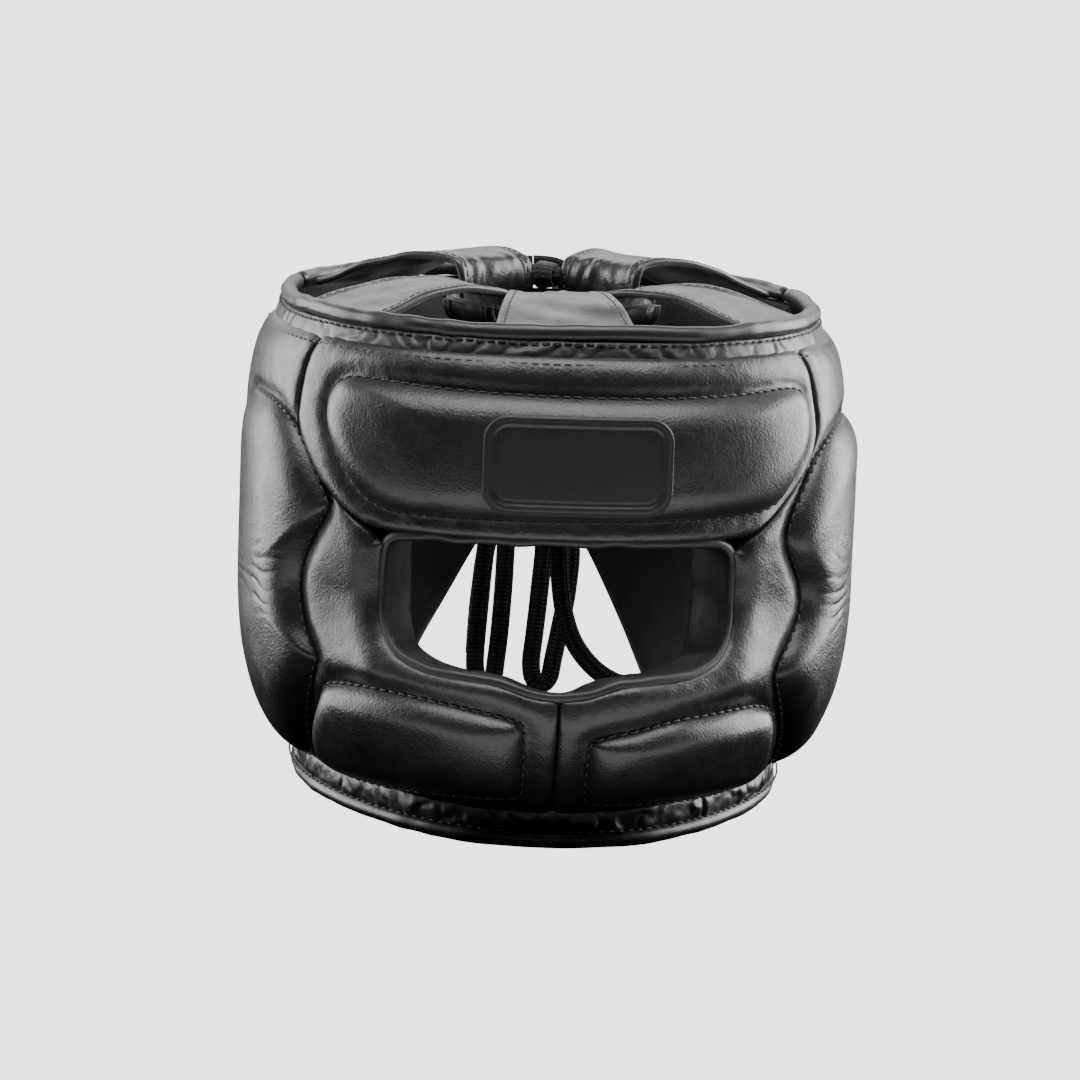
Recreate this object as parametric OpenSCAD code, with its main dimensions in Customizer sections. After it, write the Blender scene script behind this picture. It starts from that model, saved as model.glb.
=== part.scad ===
// Full-face boxing headgear: a padded leather shell with a face bar, five crown
// tabs drawn together by a lace, two rear flaps laced behind the head, and a chin strap.
// Origin: centre of the footprint, on the surface it stands on. The face looks along -Y,
// +Z is up, and left and right are the wearer's, so left is +X.

/* [Shell] */
// Width over the side walls, without the cheek pads
shell_w = 230; // [190:1:280]
// From the head's centre forward to the forehead's face
forehead_reach = 132; // [110:1:160]
// From the head's centre forward to the face bar's face
bar_reach = 150; // [128:1:185]
// From the head's centre back to the rear flaps' outer face
rear_reach = 122; // [100:1:148]
// Height of the crown's rim above the surface it stands on
rim_z = 187; // [155:1:226]
// Padding of the forehead and sides, leather to lining
wall_front = 36; // [28:1:44]
// Padding of the rear flaps, leather to lining
wall_rear = 24; // [18:1:30]
// How far the walls lean in at the rim
top_tuck = 11; // [5:1:16]
// How far the walls lean in at the foot
bottom_tuck = 31; // [16:1:38]
// How far the foot's rim spreads outside the wall above it
foot_spread = 5; // [0:0.5:8]

/* [Face] */
// Height of the eye opening's lower edge
eye_low_z = 66; // [52:1:76]
// Height of the eye opening itself
eye_h = 43; // [34:1:56]
// Half the eye opening's width, as an angle about the head's centre
eye_t = 30; // [24:1:36]
// Depth of the nose notch in the face bar's top edge
notch_h = 5; // [0:0.5:10]
// Width of the nose notch, as an angle to each side
notch_t = 10; // [6:1:16]
// Width of the blank forehead patch
patch_w = 64; // [50:1:78]
// Height of the blank forehead patch
patch_h = 34; // [26:1:40]

/* [Layers] */
// Thickness of the outer leather
leather = 1.6; // [1:0.1:2.4]
// Thickness of the inner lining
lining = 1.6; // [1:0.1:2.4]
// Rise of a raised pad above the leather under it
pad_rise = 6; // [3:0.5:9]
// Thickness of the stiff plate inside the face bar
bar_plate = 3; // [2:0.5:4]
// Diameter of the piping on the rims
piping_d = 6.5; // [5:0.5:8]
// Clear gap left between two layers
gap = 0.4; // [0.3:0.05:0.6]

/* [Crown] */
// Distance from the crown's centre to each tab's lace tunnel
crown_ring_r = 34; // [28:1:42]
// Thickness of a crown tab
tab_thick = 3; // [2:0.5:4]
// Half the front crown tab's sewn width, as an angle about the head's centre
front_tab_t = 13; // [10:1:16]
// Width of the front crown tab's tip
front_tip_w = 32; // [26:1:34]
// Half a side crown tab's sewn width, as an angle about the head's centre
side_tab_t = 16; // [12:1:20]
// Width of a side crown tab's tip
side_tip_w = 27; // [22:1:30]
// Half a rear crown tab's sewn width, as an angle about the head's centre
rear_tab_t = 21; // [16:1:23]
// Width of a rear crown tab's tip
rear_tip_w = 36; // [28:1:38]
// How high the rear crown tabs arch over the line from rim to tip
rear_arch = 13; // [8:1:16]
// How high the front and side crown tabs arch over the same line
front_arch = 6; // [3:1:12]

/* [Lacing] */
// Width of the flat lace
lace_w = 8; // [6:0.5:9]
// Thickness of the flat lace
lace_thick = 1.4; // [1:0.1:1.8]
// Number of lace loops on each rear flap
loops = 4; // [3:1:4]
// Vertical distance from one lace loop to the next
loop_pitch = 22; // [20:1:24]

/* [Chin strap] */
// Width of the chin strap
strap_w = 25; // [18:1:32]
// Thickness of the chin strap
strap_thick = 2.2; // [1.6:0.1:3]
// Lowest point of the chin strap above the surface it stands on
strap_low_z = 12; // [9:1:18]

/* [Hidden] */

leather_black = [0.09, 0.09, 0.095];
lining_black = [0.05, 0.05, 0.05];
foam_grey = [0.28, 0.28, 0.3];
lace_black = [0.06, 0.06, 0.065];

// Heights
shell_top_z = rim_z - 10;
shell_low_z = 12;
eye_top_z = eye_low_z + eye_h;
seam_gap = 1.2;
bind_thick = 2.8;

// Angles about the head's centre, 0 at the face and 180 behind
side_end_t = 94;
hinge_t = 106;
flap_start_t = hinge_t + 1;
seam_wide_t = 55;
bar_fade_t = 66;

// The plan's curve: 2 is an ellipse, and more is squarer
squareness = 2.3;
tuck_power = 3;
tuck_top_z = 120;
tuck_low_z = 90;
inner_tuck_share = 0.35;
inner_flare = 16;
inner_flare_z = 0.76 * rim_z;

loop_rise = lace_thick + 0.8 + 2 * leather;
// The head's centre stands this far behind the footprint's centre
ring_y = (bar_reach - rear_reach - loop_rise - gap) / 2;

// ---------- Curves of the shell ----------

function signed_pow(v, p) = sign(v) * pow(abs(v), p);
function smooth(k) = let (c = min(1, max(0, k))) c * c * (3 - 2 * c);
function mix(a, b, k) = a + (b - a) * k;

// How far the outer wall leans in at height z
function tuck(z) =
    top_tuck * pow(max(0, (z - tuck_top_z) / (rim_z - tuck_top_z)), tuck_power)
    + bottom_tuck * pow(max(0, (tuck_low_z - z) / tuck_low_z), tuck_power);

// The face bar stands proud of the forehead, and dies out towards the ears and the temples
function bar_swell(t, z) =
    (bar_reach - forehead_reach)
    * (abs(t) < bar_fade_t ? pow(cos(90 * t / bar_fade_t), 2) : 0)
    * (1 - smooth((z - eye_low_z + 6) / (0.7 * eye_h)));

function wall(t) = mix(wall_front, wall_rear, smooth((abs(t) - 84) / 22));
function flare(z) = inner_flare * pow(max(0, (z - inner_flare_z) / (rim_z - inner_flare_z)), 2);
function reach(t) = abs(t) <= 90 ? forehead_reach : rear_reach;

// A point on the plan's curve with semi-axes w and l
function plan(t, w, l, z) = [
    w * signed_pow(sin(t), 2 / squareness),
    ring_y - l * signed_pow(cos(t), 2 / squareness),
    z
];

// A point d inside the outer surface
function outside(t, z, d = 0) =
    plan(t, shell_w / 2 - tuck(z) - d, reach(t) + bar_swell(t, z) - tuck(z) - d, z);

// A point d outside the inner surface
function inside(t, z, d = 0) =
    let (cut = inner_tuck_share * tuck(z) + wall(t) - flare(z) - d)
    plan(t, shell_w / 2 - cut, reach(t) + bar_swell(t, z) - cut, z);

// The angle at which the outer surface is x from the middle plane
function t_at(x, z) = asin(pow(min(1, x / (shell_w / 2 - tuck(z))), squareness / 2));

// The forehead panel's side seam at height z
function seam_t(z) =
    let (low = eye_top_z, wide = mix(eye_top_z, rim_z, 0.53))
    z < wide ? seam_wide_t - (seam_wide_t - eye_t) * pow((wide - z) / (wide - low), 2)
             : seam_wide_t - 3 * pow((z - wide) / (rim_z - wide), 2);

// The eye opening's side edge at height z, rounded in its lower corner
eye_corner = 16;
eye_corner_t = 9;
function eye_side_t(z) =
    let (k = min(1, max(0, (eye_low_z + eye_corner - z) / eye_corner)))
    eye_t - eye_corner_t * (1 - sqrt(1 - k * k));

// The face bar's top edge at angle t, with its nose notch
function bar_top_z(t) = eye_low_z - notch_h * pow(cos(min(90, 90 * abs(t) / notch_t)), 2);

// A pillow's fall at its edges, for u and v from 0 to 1
function crown(u, v, fall) = fall * max(pow(abs(2 * u - 1), 8), pow(abs(2 * v - 1), 6));

// ---------- General solids ----------

// A closed solid between two grids: face_a(u, v) and face_b(u, v), u and v from 0 to 1
module slab(nu, nv, face_a, face_b) {
    row = nv + 1;
    n = (nu + 1) * row;
    points = [
        for (face = [face_a, face_b]) for (i = [0:nu]) for (j = [0:nv]) face(i / nu, j / nv)
    ];
    skins = [
        for (i = [0:nu - 1]) for (j = [0:nv - 1])
            let (a = i * row + j, b = a + row)
            each [
                [a, a + 1, b + 1], [a, b + 1, b],
                [n + a, n + b + 1, n + a + 1], [n + a, n + b, n + b + 1]
            ]
    ];
    rim = concat(
        [for (i = [0:nu - 1]) i * row], [for (j = [0:nv - 1]) nu * row + j],
        [for (i = [nu:-1:1]) i * row + nv], [for (j = [nv:-1:1]) j]
    );
    m = len(rim);
    walls = [
        for (k = [0:m - 1])
            let (a = rim[k], b = rim[(k + 1) % m])
            each [[a, b, n + b], [a, n + b, n + a]]
    ];
    polyhedron(points, concat(skins, walls), convexity = 6);
}

function unit(v) = v / max(norm(v), 1e-9);

// One ring of a strip: width w and thickness h about point p, along a direction, its face's normal up
function strip_ring(p, direction, normal, w, h, sides) =
    let (along = unit(direction), across = unit(cross(along, normal)), up = cross(across, along))
    [
        for (k = [0:sides - 1])
            let (a = 360 * (k + 0.5) / sides)
            p + across * (w / 2) * signed_pow(cos(a), 0.6) + up * (h / 2) * signed_pow(sin(a), 0.6)
    ];

// A strip of width w and thickness h swept along points; up[i] is its face's normal at point i
module strip(points, normals, w, h, sides = 8) {
    last = len(points) - 1;
    rings = [
        for (i = [0:last])
            each strip_ring(
                points[i], points[min(last, i + 1)] - points[max(0, i - 1)], normals[i], w, h, sides
            )
    ];
    tube = [
        for (i = [0:last - 1]) for (k = [0:sides - 1])
            let (a = i * sides + k, b = i * sides + (k + 1) % sides)
            each [[a, b, b + sides], [a, b + sides, a + sides]]
    ];
    caps = [[for (k = [sides - 1:-1:0]) k], [for (k = [0:sides - 1]) last * sides + k]];
    polyhedron(rings, concat(tube, caps), convexity = 6);
}

// The same section carried round a closed loop
module closed_strip(points, normals, w, h, sides = 8) {
    n = len(points);
    rings = [
        for (i = [0:n - 1])
            each strip_ring(
                points[i], points[(i + 1) % n] - points[(i + n - 1) % n], normals[i], w, h, sides
            )
    ];
    tube = [
        for (i = [0:n - 1]) for (k = [0:sides - 1])
            let (a = i * sides + k, b = i * sides + (k + 1) % sides, c = ((i + 1) % n) * sides - i * sides)
            each [[a, b, b + c], [a, b + c, a + c]]
    ];
    polyhedron(rings, tube, convexity = 6);
}

module on_right() { mirror([1, 0, 0]) children(); }

// ---------- Padded panels: a leather cover, a foam core and a lining each ----------

// One panel over t_lo(z) to t_hi(z) and z_lo to z_hi; layer is "cover", "foam" or "lining".
// An ease over 0 sets the rows closer together at the foot, where an outline bends.
module panel(layer, nu, nv, t_lo, t_hi, z_lo, z_hi, fall = 5, ease = 0) {
    z_of = function(v) mix(z_lo, z_hi, mix(v, v * v, ease));
    t_of = function(u, v) mix(t_lo(z_of(v)), t_hi(z_of(v)), u);
    outer = function(d) function(u, v) outside(t_of(u, v), z_of(v), d + crown(u, v, fall));
    inner = function(d) function(u, v) inside(t_of(u, v), z_of(v), d);
    if (layer == "cover") slab(nu, nv, outer(0), outer(leather));
    if (layer == "foam") slab(nu, nv, outer(leather + gap), inner(lining + gap));
    if (layer == "lining") slab(nu, nv, inner(lining), inner(0));
}

module forehead(layer) {
    panel(
        layer, 14, 6,
        function(z) -seam_t(z) + seam_gap / 2, function(z) seam_t(z) - seam_gap / 2,
        eye_top_z + bind_thick, shell_top_z
    );
}

module side(layer) {
    panel(
        layer, 8, 14,
        function(z) z > eye_top_z ? seam_t(z) + seam_gap / 2 : eye_side_t(z) + 1.4 * seam_gap,
        function(z) side_end_t,
        eye_low_z + gap, shell_top_z, ease = 0.8
    );
}

// The band under the eye opening, from t_lo round to the ear, notched for the nose
module jaw_band(t_lo, t_hi, nu, face_a, face_b) {
    at = function(face) function(u, v)
        let (t = mix(t_lo, t_hi, u))
        face(t, mix(shell_low_z, bar_top_z(t) - bind_thick * (abs(t) < eye_t + 4 ? 1 : gap), v), u, v);
    slab(nu, 5, at(face_a), at(face_b));
}

bar_fall = 7;
function bar_roll(v) = bar_fall * pow(abs(2 * v - 1), 4);

module left_bar_cover() {
    color(leather_black) jaw_band(
        seam_gap / 3, side_end_t, 12,
        function(t, z, u, v) outside(t, z, bar_roll(v)),
        function(t, z, u, v) outside(t, z, bar_roll(v) + leather)
    );
}

// The stiff plate lies this deep in the bar, and ends before the ears
plate_depth = 12;
plate_t = 62;
plate_low_z = shell_low_z + 10;
plate_top_z = eye_low_z - notch_h - 10;

module bar_outer_foam() {
    color(foam_grey) jaw_band(
        -side_end_t, side_end_t, 24,
        function(t, z, u, v) outside(t, z, bar_roll(v) + leather + 2 * gap),
        function(t, z, u, v) outside(t, z, plate_depth)
    );
}

module bar_plate() {
    face = function(d) function(u, v)
        outside(mix(-plate_t, plate_t, u), mix(plate_low_z, plate_top_z, v), plate_depth + gap + d);
    color([0.75, 0.75, 0.72]) slab(16, 2, face(0), face(bar_plate));
}

module bar_inner_foam() {
    color(foam_grey) jaw_band(
        -side_end_t, side_end_t, 24,
        function(t, z, u, v) outside(t, z, plate_depth + bar_plate + 2 * gap),
        function(t, z, u, v) inside(t, z, lining + gap)
    );
}

module bar_lining() {
    color(lining_black) jaw_band(
        -side_end_t, side_end_t, 24,
        function(t, z, u, v) inside(t, z, lining),
        function(t, z, u, v) inside(t, z, 0)
    );
}

// ---------- Raised pads and the patch ----------

pad_seat = 0.9;
pad_flange = 1;

// A crowned pad on the outer surface, t and z given by outline(u, v)
module raised_pad(nu, nv, at) {
    slab(
        nu, nv,
        function(u, v)
            let (p = at(u, v))
            outside(p[0], p[1], -pad_seat - pad_flange - (pad_rise - pad_flange) * (1 - crown(u, v, 1))),
        function(u, v) let (p = at(u, v)) outside(p[0], p[1], -pad_seat)
    );
}

raised_low_z = eye_top_z + 8;
raised_top_z = shell_top_z - 14;
raised_half_w = 0.37 * shell_w;
module forehead_raised_pad() {
    color(leather_black) raised_pad(14, 5, function(u, v)
        let (
            z = mix(raised_low_z, raised_top_z, v),
            half = raised_half_w * (0.84 + 0.16 * smooth(1.4 * v)) - 3 * pow(abs(2 * v - 1), 4)
        )
        [mix(-1, 1, u) * t_at(half, z), z]);
}

module forehead_patch() {
    z_mid = (raised_low_z + raised_top_z) / 2;
    lift = pad_seat + pad_rise + gap;
    color([0.05, 0.05, 0.055]) slab(
        8, 2,
        function(u, v) let (z = z_mid + (v - 0.5) * patch_h)
            outside(mix(-1, 1, u) * t_at(patch_w / 2, z), z, -lift - leather),
        function(u, v) let (z = z_mid + (v - 0.5) * patch_h)
            outside(mix(-1, 1, u) * t_at(patch_w / 2, z), z, -lift)
    );
}

// The cheek pad's front edge, pointed at the eye and again below it
cheek_low_z = 15;
cheek_top_z = mix(eye_top_z, rim_z, 0.5);
function cheek_front_t(z) = lookup(z, [
    [cheek_low_z, 62], [eye_low_z - 8, 48], [mix(eye_low_z, eye_top_z, 0.4), 52.5],
    [eye_top_z + 4, 49], [cheek_top_z, 68]
]);
function cheek_back_t(z) = 88 - 12 * pow(abs(2 * (z - cheek_low_z) / (cheek_top_z - cheek_low_z) - 1), 6);

module left_cheek_pad() {
    color(leather_black) raised_pad(6, 14, function(u, v)
        let (z = mix(cheek_low_z, cheek_top_z, v))
        [mix(cheek_front_t(z), cheek_back_t(z), u), z]);
}

bar_pad_in = 12;
bar_pad_t = 43;
module left_bar_pad() {
    low = shell_low_z + 8;
    color(leather_black) raised_pad(8, 5, function(u, v)
        let (
            t = mix(t_at(bar_pad_in, eye_low_z), bar_pad_t, u),
            top = bar_top_z(t) - 15 + 4 * smooth(2 * u),
            z = mix(low - 3 * u, top, v)
        )
        [t - 1.5 * pow(abs(2 * v - 1), 4) * u, z]);
}

// ---------- Edges ----------

// The leather that wraps the eye opening's edge, front to back
module eye_binding() {
    corner = 6;
    inset = function(z) eye_side_t(z) - 0.3;
    top = eye_top_z;
    steps = 7;
    side_z = [for (i = [0:steps]) mix(eye_low_z + 1.5, top - corner, pow(i / steps, 2))];
    top_t = [for (i = [0:8]) mix(0.86, -0.86, i / 8) * eye_t];
    low_t = [for (i = [0:12]) mix(-1, 1, i / 12) * (eye_side_t(eye_low_z) - 3)];
    outline = concat(
        [for (z = side_z) [inset(z), z]],
        [for (t = top_t) [t, top]],
        [for (i = [steps:-1:0]) [-inset(side_z[i]), side_z[i]]],
        [for (t = low_t) [t, bar_top_z(t)]]
    );
    n = len(outline);
    layers = [0, 1, 2, 3];
    middle = [0, (eye_low_z + eye_top_z) / 2];
    grown = function(p, k)
        let (away = unit([(p[0] - middle[0]) * 2, p[1] - middle[1]]))
        [p[0] + away[0] * k / 2, p[1] + away[1] * k];
    skin = bind_thick - 1;
    front = 4;
    back = 8;
    ring = function(k) [
        for (p = outline)
            let (q = k < 2 ? p : grown(p, skin))
            (k == 0 || k == 3) ? outside(q[0], q[1], front) : inside(q[0], q[1], back)
    ];
    points = [for (k = layers) each ring(k)];
    faces = [
        for (k = layers) for (i = [0:n - 1])
            let (
                next = ((k + 1) % 4) * n,
                a = k * n + i, b = k * n + (i + 1) % n,
                c = next + (i + 1) % n, d = next + i
            )
            each [[a, c, b], [a, d, c]]
    ];
    color(leather_black) polyhedron(points, faces, convexity = 6);
}

// A thin collar between a panel's edge and the piping, d_lo deep at its foot and d_hi at its top
module collar(t_lo, t_hi, nu, z_lo, z_hi, d_lo, d_hi) {
    face = function(d) function(u, v) outside(mix(t_lo, t_hi, u), mix(z_lo, z_hi, v), mix(d_lo, d_hi, v) + d);
    slab(nu, 2, face(0), face(gusset_thick));
}

collar_gap = 0.8;
hinge_gap = 0.6;
gusset_thick = 2.4;
gusset_d = 4;
rim_piping_z = rim_z - piping_d / 2 + 1;
foot_piping_z = piping_d / 2;
collar_low = shell_top_z + collar_gap;
collar_high = rim_piping_z - piping_d / 2 - 0.3;
chin_low = foot_piping_z + piping_d / 2 + 0.3;

module crown_gusset() {
    end = hinge_t - hinge_gap;
    color(leather_black) collar(-end, end, 28, collar_low, collar_high, gusset_d, gusset_d);
}

module chin_gusset() {
    color(leather_black)
        collar(
            -side_end_t, side_end_t, 24, chin_low, shell_low_z - collar_gap,
            -foot_spread, gusset_d
        );
}

// A round welt at height z, d inside the outer surface
module welt(t_lo, t_hi, nu, z, d) {
    path = [for (i = [0:nu]) outside(mix(t_lo, t_hi, i / nu), z, d)];
    strip(path, [for (p = path) [0, 0, 1]], piping_d, piping_d);
}

module crown_piping() {
    end = hinge_t - hinge_gap;
    color(leather_black) welt(-end, end, 30, rim_piping_z, gusset_d + gusset_thick / 2);
}

module chin_piping() {
    color(leather_black)
        welt(-side_end_t, side_end_t, 26, foot_piping_z, gusset_thick / 2 - foot_spread);
}

// ---------- The soft bridge over the ear, with the ear port between its two parts ----------

ear_low_z = eye_low_z + 10;
ear_top_z = eye_top_z + 9;
bridge_d = 3;
module left_ear_bridge() {
    face = function(low, high, d) function(u, v)
        outside(mix(side_end_t + hinge_gap, hinge_t - hinge_gap, u), mix(low, high, v), d);
    color(leather_black) for (span = [[shell_low_z, ear_low_z], [ear_top_z, shell_top_z]])
        slab(3, 5, face(span[0], span[1], bridge_d), face(span[0], span[1], bridge_d + 2 * leather));
}

// ---------- Rear flaps ----------

flap_low_z = chin_low + 0.1;
flap_fall = 2.5;
lacing_gap = 8;
neck_z = 100;

// Half the space between the flaps: narrow where they lace, and wide at the neck
function flap_edge_x(z) = lookup(z, [
    [flap_low_z, 60], [30, 50], [48, 38], [68, 24], [neck_z, lacing_gap], [rim_z, lacing_gap]
]);
function flap_end_t(z) = 180 - t_at(flap_edge_x(z), z);

module left_flap(layer) {
    panel(
        layer, 10, 14,
        function(z) flap_start_t, function(z) flap_end_t(z),
        flap_low_z, collar_high, flap_fall
    );
}

module left_flap_piping() {
    color(leather_black) {
        welt(flap_start_t + 2, flap_end_t(flap_low_z) - 2, 5, foot_piping_z, 4);
        welt(flap_start_t, flap_end_t(rim_z) - 3, 9, rim_piping_z, gusset_d + gusset_thick / 2);
    }
}

// Height of lace loop i, and the y of the face it is sewn to
loop_h = 12;
loop_x = 16;
function loop_z(i) = neck_z + 9 + i * loop_pitch;
function rear_y(z) = ring_y + rear_reach - tuck(z);
tunnel_w = lace_w + 1;
tunnel_h = lace_thick + 0.8;

module left_lace_loops() {
    color(leather_black) for (i = [0:loops - 1])
        translate([loop_x, rear_y(loop_z(i) - loop_h / 2) + gap, loop_z(i)]) difference() {
            translate([-tunnel_w / 2 - leather, 0, -loop_h / 2])
                cube([tunnel_w + 2 * leather, loop_rise, loop_h]);
            translate([-tunnel_w / 2, leather, -loop_h / 2 - 1])
                cube([tunnel_w, tunnel_h, loop_h + 2]);
        }
}

// The lace's half of the crossings on the left flap: up through each loop, out to the middle at both ends
lace_half_gap = 0.15;
cross_lift = lace_thick / 2 + 0.25;
knot_z = neck_z - 8;
knot_w = 15;
knot_thick = 8;
function lace_y(z) = rear_y(z) + gap + leather + tunnel_h / 2;
module left_rear_lace(over = 1) {
    half_pitch = loop_pitch / 2;
    color(lace_black) for (i = [0:loops - 1]) {
        z = loop_z(i);
        y = lace_y(z - loop_h / 2);
        first = i == 0;
        foot = first ? [knot_w / 2 + 2.4, y, knot_z + 2]
            : [lace_half_gap, y - over * cross_lift, z - half_pitch];
        path = [
            foot,
            [
                mix(foot[0], loop_x, 0.45), mix(foot[1], y, 0.6),
                first ? mix(foot[2], z, 0.2) : foot[2] + 0.4
            ],
            [loop_x - 2.5, y, z - loop_h / 2 - (first ? 5 : 2.6)],
            [loop_x, y, z - loop_h / 2 + 1],
            [loop_x, y, z + loop_h / 2 - 1],
            [loop_x - 2.5, y, z + loop_h / 2 + 2.6],
            [loop_x * 0.5, y + over * cross_lift * 0.6, z + half_pitch - 0.4],
            [lace_half_gap, y + over * cross_lift, z + half_pitch]
        ];
        strip(path, [for (p = path) [0, 1, 0]], lace_w * 0.8, lace_thick);
    }
}

// ---------- The bow: a knot, two loops and two tails hanging in the neck opening ----------

bow_y = lace_y(neck_z);
module bow_knot() {
    color(lace_black) translate([0, bow_y, knot_z]) {
        rotate([0, 90, 0]) cylinder(h = knot_w, d = knot_thick, center = true, $fn = 48);
        translate([0, knot_thick * 0.15, 0]) cylinder(h = 9.4, d = 7, center = true, $fn = 48);
    }
}

// Distances from the knot: sideways, back and down
left_loop_route = [
    [4.8, 0, 7], [6.5, 1, 13], [9.5, 2, 24], [8.5, 2.5, 45], [7, 3, 65], [6, 3.5, 77], [7, 3.5, 83],
    [10.5, 3.5, 86], [14, 4, 83], [15.5, 4, 76], [18, 5, 62], [20.5, 5.5, 46], [21, 5.5, 26],
    [14, 5, 12], [6, 5, 5.5]
];
right_loop_route = [
    [-4.8, 0, 7], [-5.5, 1, 13], [-6.5, 2, 24], [-7, 2.5, 45], [-8, 3, 65], [-9, 3.5, 77], [-10, 3.5, 83],
    [-13.5, 3.5, 86], [-17, 4, 83], [-18, 4, 76], [-17, 5, 58], [-15.5, 5.5, 35], [-13, 5.5, 18],
    [-6, 5, 5.5]
];
left_tail_route = [
    [3, -5, 5], [8, -5, 12], [15, -4, 24], [16.5, -3.5, 40], [19, -3, 55], [24, -2.5, 68],
    [32, -2, 78], [41, -1.5, 84], [49, -1, 86]
];
right_tail_route = [
    [-3, 7.5, 7], [-8, 11, 14], [-14, 12, 28], [-16.5, 12, 48], [-17.5, 11.5, 62], [-18, 11, 76]
];

// One hanging part of the bow
module hanging(route) {
    path = [for (p = route) [p[0], bow_y + p[1], knot_z - p[2]]];
    color(lace_black) strip(path, [for (p = path) [0, 1, 0]], lace_w, lace_thick);
}

// The plastic tip on a tail's end
tip_l = 11;
module lace_tip(route) {
    last = route[len(route) - 1];
    away = unit(last - route[len(route) - 2]);
    path = [
        for (k = [0.2, tip_l])
            let (p = last + away * k)
            [p[0], bow_y + p[1], knot_z - p[2]]
    ];
    color([0.03, 0.03, 0.03]) strip(path, [for (p = path) [0, 1, 0]], 4, 2.6);
}

// ---------- Crown: five tabs, each with a tunnel at its tip for the crown lace ----------

crown_y = ring_y - 8;
tunnel_r = lace_w / 2 - 0.6;
tab_root_d = gusset_d + (gusset_thick + piping_d) / 2 + 1;
tab_root_z = collar_high + tab_thick / 2 + gap;
tab_tip_z = rim_z + 1;

// The rim point at t that a tab is sewn to, and a tab's bearing from the crown's centre
function rim_point(t) =
    let (cut = tuck(rim_z) + tab_root_d, p = plan(t, shell_w / 2 - cut, reach(t) - cut, 0))
    [p[0], p[1]];
function tab_bearing(t) = let (p = rim_point(t)) atan2(p[1] - crown_y, p[0]);
// A point on the crown ring, off to one side of a tab's middle line
function ring_point(bearing, off) = [
    crown_ring_r * cos(bearing) - off * sin(bearing),
    crown_y + crown_ring_r * sin(bearing) + off * cos(bearing)
];

// A sheet from the rim, over half_t to each side of t, to the crown ring; its tip curls under into a tunnel
module crown_tab(t, half_t, tip_w, arch) {
    bearing = tab_bearing(t);
    outward = [cos(bearing), sin(bearing)];
    span = norm(rim_point(t) - ring_point(bearing, 0));
    curl = tunnel_r + tab_thick / 2;
    // The tab's middle line: share of the way from rim to ring, then distance past the ring, and height
    line = concat(
        [
            for (i = [0:8]) let (k = i / 8)
                [k, 0, mix(tab_root_z, tab_tip_z, smooth(k)) + arch * sin(180 * k)]
        ],
        [
            for (i = [1:8]) let (a = 90 + 35 * i)
                [1, curl * cos(a), tab_tip_z - curl + curl * sin(a)]
        ]
    );
    last = len(line) - 1;
    flat = [for (p = line) [(1 - p[0]) * span + p[1], p[2]]];
    lift = [
        for (i = [0:last])
            let (along = unit(flat[min(last, i + 1)] - flat[max(0, i - 1)]))
            [along[1], -along[0]] * tab_thick / 2
    ];
    face = function(side) function(u, v)
        let (
            i = round(u * last),
            root = rim_point(t + (2 * v - 1) * half_t),
            tip = ring_point(bearing, (v - 0.5) * tip_w),
            p = mix(root, tip, line[i][0]) + outward * (line[i][1] + side * lift[i][0])
        )
        [p[0], p[1], line[i][2] + side * lift[i][1]];
    color(leather_black) slab(last, 6, face(-1), face(1));
}

tab_side_t = 58;
tab_rear_t = 131;
module front_crown_tab() { crown_tab(0, front_tab_t, front_tip_w, front_arch); }
module left_side_crown_tab() { crown_tab(tab_side_t, side_tab_t, side_tip_w, front_arch); }
module left_rear_crown_tab() { crown_tab(tab_rear_t, rear_tab_t, rear_tip_w, rear_arch); }

// The crown lace runs straight through each tunnel and bends in between
crown_lace_d = 2 * tunnel_r - 1.6;
crown_lace_z = tab_tip_z - tunnel_r - tab_thick / 2;
module crown_lace() {
    runs = [
        [0, front_tip_w], [tab_side_t, side_tip_w], [tab_rear_t, rear_tip_w],
        [-tab_rear_t, rear_tip_w], [-tab_side_t, side_tip_w]
    ];
    points = [
        for (run = runs) for (s = [-1, 0, 1])
            let (p = ring_point(tab_bearing(run[0]), s * (run[1] / 2 + 1)))
            [p[0], p[1], crown_lace_z]
    ];
    color(lace_black) closed_strip(points, [for (p = points) [0, 0, 1]], crown_lace_d, crown_lace_d);
}

// The knot lies on the crown lace, between the two rear tabs
knot_d = 9;
module crown_knot() {
    beside = ring_point(tab_bearing(tab_rear_t), rear_tip_w / 2 + 1);
    color(lace_black) translate([0, beside[1], crown_lace_z + (crown_lace_d + knot_d) / 2 + 0.2]) {
        rotate([0, 90, 0]) cylinder(h = 12, d = knot_d, center = true, $fn = 48);
        rotate([90, 0, 0]) cylinder(h = 13, d = knot_d - 2, center = true, $fn = 48);
    }
}

// ---------- Chin strap ----------

strap_y = ring_y - 26;
anchor_z = strap_low_z + 20;
anchor_x = 63;
tape_thick = 1;
tape_w = 0.8 * strap_w;
short_end_x = -4;
long_end_x = -36;
// The short strap runs this far under the long one, with both tapes between
short_drop = strap_thick + 2 * tape_thick + 1.5 * gap;

// The long strap's middle height at x, a shallow catenary
function strap_z(x) =
    strap_low_z + strap_thick / 2 + short_drop + (anchor_z - strap_low_z) * pow(x / anchor_x, 2);

// A strap from x_a to x_b, lowered by drop
module strap(x_a, x_b, drop, w, thick, n) {
    face = function(side) function(u, v)
        let (x = mix(x_a, x_b, u)) [x, strap_y + (v - 0.5) * w, strap_z(x) - drop + side * thick / 2];
    slab(n, 1, face(1), face(-1));
}

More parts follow.
